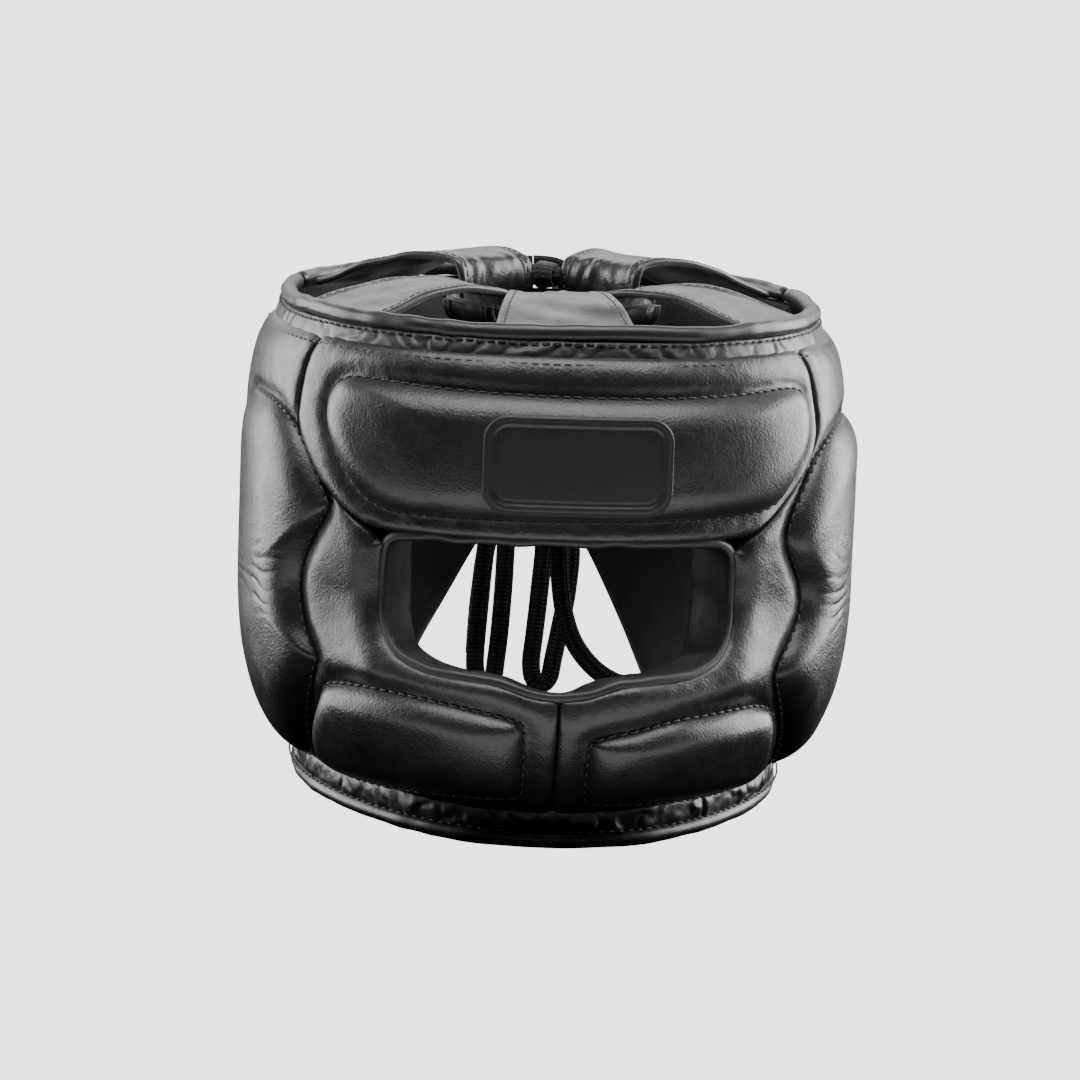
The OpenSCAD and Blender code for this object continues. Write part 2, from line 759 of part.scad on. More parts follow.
module chin_strap() { color(leather_black) strap(long_end_x, anchor_x - 1, 0, strap_w, strap_thick, 14); }
module hook_tape() {
    color([0.14, 0.14, 0.14])
        strap(
            long_end_x + 2, short_end_x - 3, (strap_thick + tape_thick) / 2 + gap / 4,
            tape_w, tape_thick, 5
        );
}
module loop_tape() {
    color([0.14, 0.14, 0.14])
        strap(
            long_end_x, short_end_x - 2, strap_thick / 2 + 1.5 * tape_thick + gap,
            tape_w, tape_thick, 5
        );
}
module short_strap() {
    color(leather_black)
        strap(-anchor_x + 1, short_end_x, short_drop, strap_w, strap_thick, 10);
}

// How far the lining's inner face is from the middle plane, at y and z on the side wall
function lining_x(y, z) =
    let (cut = inner_tuck_share * tuck(z) + wall_front, w = shell_w / 2 - cut, l = forehead_reach - cut)
    w * pow(1 - pow(abs(y - ring_y) / l, squareness), 1 / squareness);

// The leather tabs that hold both straps to the lining
module strap_anchor() {
    tall = 2.5 * strap_thick;
    color(leather_black) for (s = [-1, 1]) {
        z_mid = strap_z(anchor_x) - (s < 0 ? short_drop : 0);
        face = function(outer) function(u, v)
            let (y = strap_y + (u - 0.5) * strap_w, z = z_mid + (v - 0.5) * tall)
            [s * (outer ? lining_x(y, z) - gap : anchor_x + gap), y, z];
        slab(4, 2, face(s > 0), face(s < 0));
    }
}

// ---------- Nodes ----------

color(leather_black) forehead("cover");  // forehead_cover
color(foam_grey) forehead("foam");  // forehead_foam
color(lining_black) forehead("lining");  // forehead_lining
forehead_raised_pad();
forehead_patch();
color(leather_black) side("cover");  // left_side_cover
color(foam_grey) side("foam");  // left_side_foam
color(lining_black) side("lining");  // left_side_lining
left_cheek_pad();
left_ear_bridge();
on_right() color(leather_black) side("cover");  // right_side_cover
on_right() color(foam_grey) side("foam");  // right_side_foam
on_right() color(lining_black) side("lining");  // right_side_lining
on_right() left_cheek_pad();  // right_cheek_pad
on_right() left_ear_bridge();  // right_ear_bridge
left_bar_cover();
on_right() left_bar_cover();  // right_bar_cover
left_bar_pad();
on_right() left_bar_pad();  // right_bar_pad
bar_outer_foam();
bar_plate();
bar_inner_foam();
bar_lining();
eye_binding();
crown_gusset();
crown_piping();
chin_gusset();
chin_piping();
front_crown_tab();
left_side_crown_tab();
on_right() left_side_crown_tab();  // right_side_crown_tab
left_rear_crown_tab();
on_right() left_rear_crown_tab();  // right_rear_crown_tab
crown_lace();
crown_knot();
color(leather_black) left_flap("cover");  // left_flap_cover
color(foam_grey) left_flap("foam");  // left_flap_foam
color(lining_black) left_flap("lining");  // left_flap_lining
left_flap_piping();
left_lace_loops();
left_rear_lace(1);
on_right() color(leather_black) left_flap("cover");  // right_flap_cover
on_right() color(foam_grey) left_flap("foam");  // right_flap_foam
on_right() color(lining_black) left_flap("lining");  // right_flap_lining
on_right() left_flap_piping();  // right_flap_piping
on_right() left_lace_loops();  // right_lace_loops
on_right() left_rear_lace(-1);  // right_rear_lace
bow_knot();
hanging(left_loop_route);  // left_bow_loop
hanging(right_loop_route);  // right_bow_loop
hanging(left_tail_route);  // left_bow_tail
hanging(right_tail_route);  // right_bow_tail
lace_tip(left_tail_route);  // left_lace_tip
lace_tip(right_tail_route);  // right_lace_tip
chin_strap();
hook_tape();
strap_anchor();
short_strap();
loop_tape();
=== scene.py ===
# %% [markdown]
# # A full-face boxing headgear in black leather
# The headgear is a foam shell covered in cowhide, with a padded bar in front of the face, five crown
# tabs drawn together by a lace, and two flaps laced behind the head. The solid model that the parts
# must agree with is loaded first, and every piece made below takes its place from it. Loading it
# first keeps the looks and the measured part in one frame, so nothing has to be fitted by eye.

# %% Load the measured part
import math

import bpy
import numpy as np
from mathutils import Matrix


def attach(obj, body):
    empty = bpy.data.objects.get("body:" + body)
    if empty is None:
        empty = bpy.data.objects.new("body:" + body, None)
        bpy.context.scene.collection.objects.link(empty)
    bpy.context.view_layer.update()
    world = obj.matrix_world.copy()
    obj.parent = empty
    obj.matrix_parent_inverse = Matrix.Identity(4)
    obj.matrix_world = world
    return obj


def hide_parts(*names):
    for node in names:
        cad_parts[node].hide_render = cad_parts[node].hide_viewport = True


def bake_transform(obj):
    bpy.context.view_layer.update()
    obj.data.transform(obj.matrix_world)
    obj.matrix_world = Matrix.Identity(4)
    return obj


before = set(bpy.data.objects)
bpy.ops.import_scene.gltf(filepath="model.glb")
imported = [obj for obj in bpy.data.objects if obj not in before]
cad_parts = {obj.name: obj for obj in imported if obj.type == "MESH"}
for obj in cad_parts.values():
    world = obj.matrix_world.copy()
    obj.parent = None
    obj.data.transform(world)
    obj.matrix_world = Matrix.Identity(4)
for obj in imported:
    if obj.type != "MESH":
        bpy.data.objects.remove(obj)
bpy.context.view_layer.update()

# %% [markdown]
# ## The shell's plan
# Everything on the headgear is sewn to one shell, so one pair of functions says where the leather
# and the lining are. An angle t runs round the head, 0 at the face and 180 behind, and z is the
# height. The plan could be an ellipse, but padding makes the corners squarer, so it is a
# superellipse. All the sizes below are in millimetres, and a mesh is turned to metres as it is made.

# %% Sizes of the shell, in mm and degrees
MM = 0.001
SHELL_W, FOREHEAD_REACH, BAR_REACH, REAR_REACH = 230.0, 132.0, 150.0, 122.0
RIM_Z, SHELL_TOP, SHELL_LOW = 187.0, 177.0, 12.0
TOP_TUCK, BOTTOM_TUCK = 11.0, 31.0
EYE_LOW, EYE_H, EYE_T = 66.0, 43.0, 30.0
EYE_TOP = EYE_LOW + EYE_H
WALL_FRONT, WALL_REAR = 36.0, 24.0
SIDE_END_T, HINGE_T, FLAP_START_T = 94.0, 106.0, 107.0
SEAM_WIDE_T, BAR_FADE_T = 55.0, 66.0
PIPING_R = 3.25
RING_Y = 11.1
# The power of the superellipse that the plan is
PLAN_POWER = 2.3


def smooth(k):
    """0 below 0, 1 above 1, and three k squared less two k cubed in between."""
    k = np.clip(k, 0, 1)
    return k * k * (3 - 2 * k)


def signed_power(v, p):
    """The size of v to the power p, with v's own sign."""
    return np.sign(v) * np.abs(v) ** p


def tuck(z):
    """How far the wall leans in: a cube from 120 mm up to the rim, and a cube from 90 mm down to the foot."""
    return (TOP_TUCK * np.maximum(0, (z - 120) / (RIM_Z - 120)) ** 3
            + BOTTOM_TUCK * np.maximum(0, (90 - z) / 90) ** 3)


def bar_swell(t, z):
    """How far the face bar stands out: a cosine squared round the face times a smooth step up to the eyes."""
    fade = np.where(np.abs(t) < BAR_FADE_T, np.cos(np.radians(90 * t / BAR_FADE_T)) ** 2, 0)
    return (BAR_REACH - FOREHEAD_REACH) * fade * (1 - smooth((z - EYE_LOW + 6) / (0.7 * EYE_H)))


def wall(t):
    """Padding at angle t, a smooth step from the front's to the rear's behind the ear."""
    return WALL_FRONT + (WALL_REAR - WALL_FRONT) * smooth((np.abs(t) - 84) / 22)


def shell_point(t, z, inward):
    """A point at angle t and height z, inward mm inside the leather: a superellipse of power 2.3."""
    t, z, inward = np.broadcast_arrays(*(np.asarray(a, float) for a in (t, z, inward)))
    reach = np.where(np.abs(t) <= 90, FOREHEAD_REACH, REAR_REACH) + bar_swell(t, z)
    cut = tuck(z) + inward
    a = np.radians(t)
    return np.stack([(SHELL_W / 2 - cut) * signed_power(np.sin(a), 2 / PLAN_POWER),
                     RING_Y - (reach - cut) * signed_power(np.cos(a), 2 / PLAN_POWER), z], -1)


def lining_point(t, z, outward):
    """A point outward mm outside the lining: the plan, one wall further in, which flares at the rim."""
    flare = 16 * np.maximum(0, (z - 0.76 * RIM_Z) / (0.24 * RIM_Z)) ** 2
    return shell_point(t, z, wall(t) - flare - outward - 0.65 * tuck(z))


def angle_at(x, z):
    """The angle at which the leather is x mm from the middle plane: the plan's formula turned round."""
    share = np.minimum(1, np.abs(x) / (SHELL_W / 2 - tuck(z)))
    return np.sign(x) * np.degrees(np.arcsin(share ** (PLAN_POWER / 2)))


print("leather at the forehead, the bar and the ear:")
print(shell_point([0, 0, 90], [140, 40, 100], 0).round(1).tolist())

# %% [markdown]
# ## Curves, distances and soft noise
# Seams and pad outlines are smooth curves through a few knots, and most of the relief on the leather
# depends on how far a point is from them. Noise could come from an image or a texture node, but a
# sum of sine waves with random directions is smooth, costs little and gives the same result each run.

# %% Curve and distance helpers
def even(points, count, closed=False):
    """count points spaced evenly along a line, by reading it at even shares of its length."""
    line = np.vstack([points, points[:1]]) if closed else np.asarray(points, float)
    run = np.concatenate([[0], np.cumsum(np.linalg.norm(np.diff(line, axis=0), axis=1))])
    goal = np.linspace(0, run[-1], count + 1 if closed else count)
    out = np.stack([np.interp(goal, run, line[:, c]) for c in range(line.shape[1])], 1)
    return out[:-1] if closed else out


def spline(knots, count, closed=False):
    """A smooth line through the knots: between two knots, the cubic whose slopes follow their neighbours."""
    k = np.asarray(knots, float)
    if closed:
        ends = k[np.arange(-1, len(k) + 2) % len(k)]
    else:
        ends = np.vstack([2 * k[0] - k[1], k, 2 * k[-1] - k[-2]])
    a, b, c, d = (ends[i:len(ends) - 3 + i, None] for i in range(4))
    s = np.linspace(0, 1, 24, endpoint=False)[None, :, None]
    fine = 0.5 * (2 * b + (c - a) * s + (2 * a - 5 * b + 4 * c - d) * s ** 2
                  + (3 * b - a - 3 * c + d) * s ** 3)
    fine = fine.reshape(-1, k.shape[1])
    return even(fine if closed else np.vstack([fine, k[-1:]]), count, closed)


def on_shell(tz, count, closed=False, inward=0.0):
    """Angles and heights re-spaced so that their points on the leather are evenly far apart."""
    both = np.hstack([shell_point(tz[:, 0], tz[:, 1], inward), tz])
    line = np.vstack([both, both[:1]]) if closed else both
    run = np.concatenate([[0], np.cumsum(np.linalg.norm(np.diff(line[:, :3], axis=0), axis=1))])
    goal = np.linspace(0, run[-1], count + 1 if closed else count)
    out = np.stack([np.interp(goal, run, line[:, c]) for c in (3, 4)], 1)
    return (out[:-1] if closed else out), run[-1]


def distance(points, line, closed=False):
    """The least distance from each point to a line of straight pieces, in blocks to save memory."""
    a = line if closed else line[:-1]
    step = (np.roll(line, -1, 0) if closed else line[1:]) - a
    size = np.maximum((step ** 2).sum(1), 1e-12)
    flat = points.reshape(-1, 3)
    out = np.full(len(flat), 1e3)
    near = np.flatnonzero(((flat > line.min(0) - 30) & (flat < line.max(0) + 30)).all(1))
    for first in range(0, len(near), 4000):
        pick = near[first:first + 4000]
        gap = flat[pick][:, None] - a
        k = np.clip((gap * step).sum(2) / size, 0, 1)[..., None]
        out[pick] = np.sqrt(((gap - k * step) ** 2).sum(2).min(1))
    return out.reshape(points.shape[:-1])


def is_inside(t, z, outline):
    """True where an odd number of the outline's edges lie to one side of the point."""
    inside = np.zeros(np.shape(t), bool)
    for (t0, z0), (t1, z1) in zip(outline, np.roll(outline, -1, 0)):
        if z0 != z1:
            inside ^= ((z0 > z) != (z1 > z)) & (t < (t1 - t0) * (z - z0) / (z1 - z0) + t0)
    return inside


def waves(points, length, seed, count=20):
    """Soft noise from about -1 to 1: sine waves about length mm long, in random directions, added up."""
    rng = np.random.default_rng(seed)
    way = rng.normal(size=(count, 3))
    size = np.linalg.norm(way, axis=1, keepdims=True)
    way *= (2 * np.pi / length) * rng.uniform(0.6, 1.5, (count, 1)) / size
    turn = rng.uniform(0, 2 * np.pi, count)
    return sum(np.sin(points @ w + p) for w, p in zip(way, turn)) / np.sqrt(count)


def roll_off(d, depth, width):
    """An edge that turns down like a quarter circle: depth mm down at the edge, level from width mm in."""
    return -depth * (1 - np.sqrt(1 - (1 - np.clip(d / width, 0, 1)) ** 2))


def groove(d, depth, width):
    """A sewn-down line: depth mm deep, fading as a bell curve of this width."""
    return -depth * np.exp(-(d / width) ** 2)

# %% [markdown]
# ## Meshes from grids
# Each new piece is a closed skin over one or more grids of points. Blender's own primitives could be
# bent into place, but a grid worked out by a function lands exactly where the shell's plan says. A
# skin whose volume comes out negative is inside out, so its faces are turned round.

# %% Mesh helpers
def grid_faces(rows, cols, wrap=False, first=0):
    """Quads between neighbouring rows and columns; wrap joins the last column to the first."""
    i = np.arange(rows - 1)[:, None]
    j = np.arange(cols if wrap else cols - 1)[None]
    k = (j + 1) % cols
    quads = np.stack([i * cols + j, (i + 1) * cols + j, (i + 1) * cols + k, i * cols + k], -1)
    return quads.reshape(-1, 4) + first


def fan(ring, pole, turn):
    """Triangles from a ring of point numbers to its pole."""
    ends = np.roll(ring, -1)
    return np.stack([ring, ends, np.full(len(ring), pole)][::turn], 1)


def tube_skin(rings, wrap_rows=False):
    """A skin over rings of points, one row to a ring; its ends are closed by poles or joined together."""
    rows, cols = rings.shape[:2]
    points = rings.reshape(-1, 3)
    if wrap_rows:
        i, j = np.arange(rows)[:, None], np.arange(cols)[None]
        n, k = (i + 1) % rows, (j + 1) % cols
        quads = np.stack([i * cols + j, n * cols + j, n * cols + k, i * cols + k], -1)
        return points, [quads.reshape(-1, 4)]
    points = np.vstack([points, rings[0].mean(0), rings[-1].mean(0)])
    start, end = np.arange(cols), np.arange(cols) + (rows - 1) * cols
    return points, [grid_faces(rows, cols, True), fan(start, rows * cols, -1), fan(end, rows * cols + 1, 1)]


def slab_skin(outer, inner, steps=1):
    """A skin over two grids of one size, with a wall of this many steps between their borders."""
    rows, cols = outer.shape[:2]
    size = rows * cols
    edge = np.concatenate([np.arange(rows - 1) * cols, (rows - 1) * cols + np.arange(cols - 1),
                           np.arange(rows - 1, 0, -1) * cols + cols - 1, np.arange(cols - 1, 0, -1)])
    added = [2 * size + s * len(edge) + np.arange(len(edge)) for s in range(steps - 1)]
    rims = [edge] + added + [edge + size]
    flat_o, flat_i = outer.reshape(-1, 3), inner.reshape(-1, 3)
    between = [flat_o[edge] + (flat_i[edge] - flat_o[edge]) * (s + 1) / steps for s in range(steps - 1)]
    walls = [np.stack([np.roll(a, -1), np.roll(b, -1), b, a], 1) for a, b in zip(rims, rims[1:])]
    faces = [grid_faces(rows, cols)[:, ::-1], grid_faces(rows, cols, first=size)]
    return np.vstack([flat_o, flat_i] + between), faces + walls


def signed_volume(points, faces):
    """A sixth of the sum of a . (b x c) over every triangle of the skin."""
    total = 0.0
    for f in faces:
        for k in range(1, f.shape[1] - 1):
            a, b, c = points[f[:, 0]], points[f[:, k]], points[f[:, k + 1]]
            total += (a * np.cross(b, c)).sum() / 6
    return total


def add_piece(name, skins, material, body="shell", replaces=(), uv=None, sharp=50):
    """Joins skins, given in mm, into one object in metres, faces outwards, that rides on a body."""
    points, faces, first = [], [], 0
    for pts, parts in skins:
        parts = [np.asarray(p) for p in parts]
        if signed_volume(pts, parts) < 0:
            parts = [p[:, ::-1] for p in parts]
        points.append(pts)
        faces += [p + first for p in parts]
        first += len(pts)
    points = np.vstack(points)
    mesh = bpy.data.meshes.new(name)
    mesh.from_pydata((points * MM).tolist(), [], [f for part in faces for f in part.tolist()])
    mesh.polygons.foreach_set("use_smooth", np.ones(len(mesh.polygons), bool))
    mesh.set_sharp_from_angle(angle=math.radians(sharp))
    if uv is not None:
        layer = mesh.uv_layers.new(name="UVMap")
        corner = np.zeros(len(mesh.loops), np.int32)
        mesh.loops.foreach_get("vertex_index", corner)
        layer.data.foreach_set("uv", (np.asarray(uv) * MM)[corner].astype(np.float32).ravel())
    for m in (material if isinstance(material, (list, tuple)) else [material]):
        mesh.materials.append(m)
    mesh.update()
    piece = bpy.data.objects.new(name, mesh)
    bpy.context.scene.collection.objects.link(piece)
    if body:
        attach(piece, body)
    if replaces:
        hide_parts(*replaces)
    return piece


def path_frames(path, up, closed=False):
    """Along, across and normal at each point of a path: along is the step between its neighbours."""
    ahead = np.roll(path, -1, 0) if closed else np.vstack([path[1:], path[-1:]])
    behind = np.roll(path, 1, 0) if closed else np.vstack([path[:1], path[:-1]])
    along = ahead - behind
    along /= np.linalg.norm(along, axis=1, keepdims=True)
    across = np.cross(along, np.broadcast_to(up, path.shape))
    across /= np.linalg.norm(across, axis=1, keepdims=True)
    return along, across, np.cross(across, along)


def sweep(path, up, section, closed=False, scale=None):
    """Rings of a section, given as sideways and upward mm, carried along a path."""
    _, across, normal = path_frames(path, up, closed)
    section = np.asarray(section, float)
    k = 1.0 if scale is None else np.asarray(scale)[:, None, None]
    ring = section[None, :, :1] * across[:, None] + section[None, :, 1:] * normal[:, None]
    return path[:, None] + k * ring


def oval(w, h, count, power=1.0):
    """A closed section w by h mm: an ellipse at power 1, and squarer below it."""
    a = 2 * np.pi * (np.arange(count) + 0.5) / count
    return np.stack([w / 2 * signed_power(np.cos(a), power), h / 2 * signed_power(np.sin(a), power)], 1)


STITCH_SIDES = 6


def stitch_skins(line, normals, pitch=4.2, length=3.2, thick=0.85, sink=0.1, closed=False):
    """Short capsules in a row along a line: each is four rings of six points, thin at both ends."""
    total = np.linalg.norm(np.diff(np.vstack([line, line[:1]]) if closed else line, axis=0), axis=1).sum()
    count = max(2, int(round(total / pitch)))
    both = np.hstack([line, np.broadcast_to(normals, line.shape)])
    dense = even(both, count * 4 + (0 if closed else 1), closed)
    at, up = dense[:, :3], dense[:, 3:]
    ahead, behind = np.roll(at, -1, 0), np.roll(at, 1, 0)
    pick = np.arange(count) * 4 + 2
    along = (ahead - behind)[pick]
    along /= np.linalg.norm(along, axis=1, keepdims=True)
    side = np.cross(along, up[pick])
    side /= np.linalg.norm(side, axis=1, keepdims=True)
    lift = np.cross(side, along)
    a = 2 * np.pi * np.arange(STITCH_SIDES) / STITCH_SIDES
    place, girth, drop = np.array([[-0.5, -0.36, 0.36, 0.5], [0.45, 1, 1, 0.45], [0.3, 0, 0, 0.3]])
    ring = np.cos(a)[None, :, None] * side[:, None, None] + np.sin(a)[None, :, None] * lift[:, None, None]
    spots = (at[pick][:, None, None] + place[None, :, None, None] * length * along[:, None, None]
             + girth[None, :, None, None] * thick / 2 * ring
             - (sink + drop[None, :, None, None]) * lift[:, None, None])
    n = 4 * STITCH_SIDES
    points = spots.reshape(-1, 3)
    quads = grid_faces(4, STITCH_SIDES, True)
    caps = np.array([[0, 5, 4, 3], [0, 3, 2, 1], [18, 19, 20, 21], [18, 21, 22, 23]])
    one = np.vstack([quads, caps])
    return points, [(one[None] + n * np.arange(count)[:, None, None]).reshape(-1, 4)]


def shell_normal(t, z, inward=0.0):
    """The leather's outward direction, from steps of a tenth of a degree and a tenth of a millimetre."""
    a = shell_point(t + 0.1, z, inward) - shell_point(t - 0.1, z, inward)
    b = shell_point(t, z + 0.1, inward) - shell_point(t, z - 0.1, inward)
    n = np.cross(a, b)
    return n / np.linalg.norm(n, axis=-1, keepdims=True)

# %% [markdown]
# ## Finishes
# Black leather is hardly ever one black: it is a dark pigment over a pebbled grain, and what the eye
# reads is the broken highlight. An image of hide would give that, but a node pattern has no seams and
# keeps its scale, so the grain is cells about 0.9 mm wide with finer noise over them, both as bump.

# %% Colours and the one node helper
def colour(hex_value):
    """An sRGB hex colour as linear numbers: each channel over 12.92 when dark, else to the power 2.4."""
    parts = [int(hex_value[i:i + 2], 16) / 255 for i in (1, 3, 5)]
    return tuple(c / 12.92 if c <= 0.04045 else ((c + 0.055) / 1.055) ** 2.4 for c in parts) + (1.0,)


def add_node(tree, kind, sockets=(), **settings):
    """Adds one shader node, fills its fields, and sets each socket or links it to the output given for it."""
    made = tree.nodes.new(kind)
    for field, value in settings.items():
        setattr(made, field, value)
    for key, value in dict(sockets).items():
        if isinstance(value, bpy.types.NodeSocket):
            tree.links.new(value, made.inputs[key])
        else:
            made.inputs[key].default_value = value
    return made


def new_material(name, **constants):
    """A material with its Principled shader, whose sockets are set to these constants."""
    made = bpy.data.materials.new(name)
    made.use_nodes = True
    shader = made.node_tree.nodes["Principled BSDF"]
    for key, value in constants.items():
        shader.inputs[key.replace("_", " ")].default_value = value
    return made, made.node_tree, shader


def ramp(tree, factor, stops):
    """A colour ramp through (place, hex colour) stops."""
    made = add_node(tree, "ShaderNodeValToRGB", {"Fac": factor})
    while len(made.color_ramp.elements) < len(stops):
        made.color_ramp.elements.new(0.5)
    for element, (place, hex_value) in zip(made.color_ramp.elements, stops):
        element.position, element.color = place, colour(hex_value)
    return made.outputs["Color"]


def hide_leather(name, dark, light, rough, grain_mm, grain, crease):
    """Pebbled cells and fine noise as bump, slow noise as creases, and a roughness that varies with both."""
    made, tree, shader = new_material(name, IOR=1.5, Coat_Weight=0.12, Coat_Roughness=0.22)
    place = add_node(tree, "ShaderNodeTexCoord").outputs["Object"]
    slow = add_node(tree, "ShaderNodeTexNoise",
                    {"Vector": place, "Scale": 38.0, "Detail": 4.0, "Roughness": 0.55})
    fine = add_node(tree, "ShaderNodeTexNoise", {"Vector": place, "Scale": 1400.0, "Detail": 3.0})
    warp = add_node(tree, "ShaderNodeTexNoise", {"Vector": place, "Scale": 420.0, "Detail": 2.0})
    shifted = add_node(tree, "ShaderNodeVectorMath", {0: warp.outputs["Color"], 1: (0.0016,) * 3, 2: place},
                       operation="MULTIPLY_ADD")
    cells = add_node(tree, "ShaderNodeTexVoronoi", {"Vector": shifted.outputs[0], "Scale": 1000 / grain_mm},
                     feature="SMOOTH_F1")
    folds = add_node(tree, "ShaderNodeTexNoise",
                     {"Vector": place, "Scale": 150.0, "Detail": 6.0, "Roughness": 0.6, "Distortion": 0.6})
    bump_1 = add_node(tree, "ShaderNodeBump",
                      {"Height": folds.outputs["Fac"], "Strength": crease, "Distance": 0.8 * MM})
    bump_2 = add_node(tree, "ShaderNodeBump",
                      {"Height": cells.outputs["Distance"], "Strength": grain, "Distance": 0.5 * MM,
                       "Normal": bump_1.outputs[0]}, invert=True)
    bump_3 = add_node(tree, "ShaderNodeBump",
                      {"Height": fine.outputs["Fac"], "Strength": grain * 0.4, "Distance": 0.3 * MM,
                       "Normal": bump_2.outputs[0]})
    tree.links.new(bump_3.outputs[0], shader.inputs["Normal"])
    spread = add_node(tree, "ShaderNodeMapRange",
                      {"Value": folds.outputs["Fac"], "From Min": 0.3, "From Max": 0.7,
                       "To Min": rough - 0.05, "To Max": rough + 0.07})
    tree.links.new(spread.outputs[0], shader.inputs["Roughness"])
    tree.links.new(ramp(tree, slow.outputs["Fac"], [(0.3, dark), (0.7, light)]), shader.inputs["Base Color"])
    return made


# Finished black cowhide: a satin topcoat over fine pebbles, which breaks wide highlights into a soft glow
cowhide = hide_leather("black_cowhide_satin_finish", "#101011", "#19191a", 0.40, 0.9, 0.24, 0.22)
# Sheep nappa on the gathered strips and the welts: thinner than the hide and flatter in its grain, so it is
# the folds themselves that catch the light
nappa = hide_leather("black_nappa_glossy", "#0b0b0c", "#121213", 0.44, 0.7, 0.12, 0.10)
# Vegetable-tanned leather, left matt, on the patch and the eye opening's edge: a deeper black than the hide
patch_hide = hide_leather("black_patch_leather_matt", "#070707", "#0c0c0c", 0.52, 0.6, 0.14, 0.10)


def brushed_lining():
    """Suede-like fibre: noise as bump and colour, and sheen that lightens it at a slant."""
    made, tree, shader = new_material("black_brushed_suede_lining", IOR=1.45, Sheen_Weight=0.35,
                                      Sheen_Roughness=0.5, Roughness=0.9)
    place = add_node(tree, "ShaderNodeTexCoord").outputs["Object"]
    fibre = add_node(tree, "ShaderNodeTexNoise",
                     {"Vector": place, "Scale": 900.0, "Detail": 5.0, "Roughness": 0.7})
    nap = add_node(tree, "ShaderNodeTexNoise", {"Vector": place, "Scale": 60.0, "Detail": 3.0})
    bump = add_node(tree, "ShaderNodeBump",
                    {"Height": fibre.outputs["Fac"], "Strength": 0.6, "Distance": 0.8 * MM})
    tree.links.new(bump.outputs[0], shader.inputs["Normal"])
    shades = ramp(tree, nap.outputs["Fac"], [(0.3, "#080808"), (0.7, "#111112")])
    tree.links.new(shades, shader.inputs["Base Color"])
    return made


def woven_cotton(name, dark, light, rib_mm, rough):
    """Ribs across a UV map in metres: one sine wave along the lace and a finer one across it. Their product
    is the bump and also the colour, lighter on the ribs and darker in their hollows, which is painted shade.
    """
    made, tree, shader = new_material(name, IOR=1.47, Roughness=rough, Sheen_Weight=0.3, Sheen_Roughness=0.4)
    place = add_node(tree, "ShaderNodeTexCoord").outputs["UV"]
    ribs_per_turn = 1000 / rib_mm / 6.2832
    along = add_node(tree, "ShaderNodeTexWave",
                     {"Vector": place, "Scale": ribs_per_turn, "Distortion": 0.4}, bands_direction="Y")
    across = add_node(tree, "ShaderNodeTexWave",
                      {"Vector": place, "Scale": 1.3 * ribs_per_turn, "Distortion": 0.3}, bands_direction="X")
    both = add_node(tree, "ShaderNodeMath", {0: along.outputs["Fac"], 1: across.outputs["Fac"]},
                    operation="MULTIPLY")
    bump = add_node(tree, "ShaderNodeBump",
                    {"Height": both.outputs[0], "Strength": 0.7, "Distance": 0.5 * MM})
    tree.links.new(bump.outputs[0], shader.inputs["Normal"])
    # Painted shade: the colour follows the rib height, so the hollows between the ribs are darker than the
    # ribs
    tree.links.new(ramp(tree, both.outputs[0], [(0.0, dark), (0.8, light)]), shader.inputs["Base Color"])
    return made


def speckled(name, dark, light, rough, scale, bump_mm, **constants):
    """A plain material with noise in its colour and bump, for thread, tape and moulded plastic."""
    made, tree, shader = new_material(name, Roughness=rough, **constants)
    place = add_node(tree, "ShaderNodeTexCoord").outputs["Object"]
    noise = add_node(tree, "ShaderNodeTexNoise", {"Vector": place, "Scale": scale, "Detail": 3.0})
    bump = add_node(tree, "ShaderNodeBump",
                    {"Height": noise.outputs["Fac"], "Strength": 0.5, "Distance": bump_mm * MM})
    tree.links.new(bump.outputs[0], shader.inputs["Normal"])
    tree.links.new(ramp(tree, noise.outputs["Fac"], [(0.3, dark), (0.7, light)]), shader.inputs["Base Color"])
    return made


suede = brushed_lining()
cotton = woven_cotton("black_woven_cotton_lace", "#0a0a0a", "#1d1d1e", 0.9, 0.8)
# Bonded nylon thread, as dark as the hide, so a stitch shows by its own small shadow and glint
thread = speckled("black_bonded_nylon_thread", "#0a0a0a", "#121212", 0.6, 3000.0, 0.1, IOR=1.53)
# Hook and loop tape: matt knitted nylon
nylon = speckled("black_knitted_nylon_tape", "#0c0c0c", "#1c1c1c", 0.85, 1500.0, 0.6, IOR=1.53)
# Sheet polyethylene in the face bar and cellulose acetate on the lace tips: both moulded smooth
stiff_plastic = speckled("white_polyethylene_sheet", "#b9b9b4", "#c8c8c3", 0.4, 200.0, 0.05, IOR=1.51)
tip_plastic = speckled("black_acetate_lace_tip", "#080808", "#0e0e0e", 0.3, 300.0, 0.05, IOR=1.48)
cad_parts["bar_plate"].data.materials.clear()
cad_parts["bar_plate"].data.materials.append(stiff_plastic)
print("finishes:", [m.name for m in bpy.data.materials])

# %% [markdown]
# ## Camera, floor and lights
# A studio shows black leather by what it mirrors, so the lights are large soft panels: one overhead
# for the broad glow along each pad's upper edge, one behind each side for the cheeks' outer edges, and
# weak ones in front, behind and low down by the face bar. A small bright light would give hard spots
# instead. The floor is plain and pale and is kept out of the leather's reflections, because a bright
# floor would turn the black to grey.

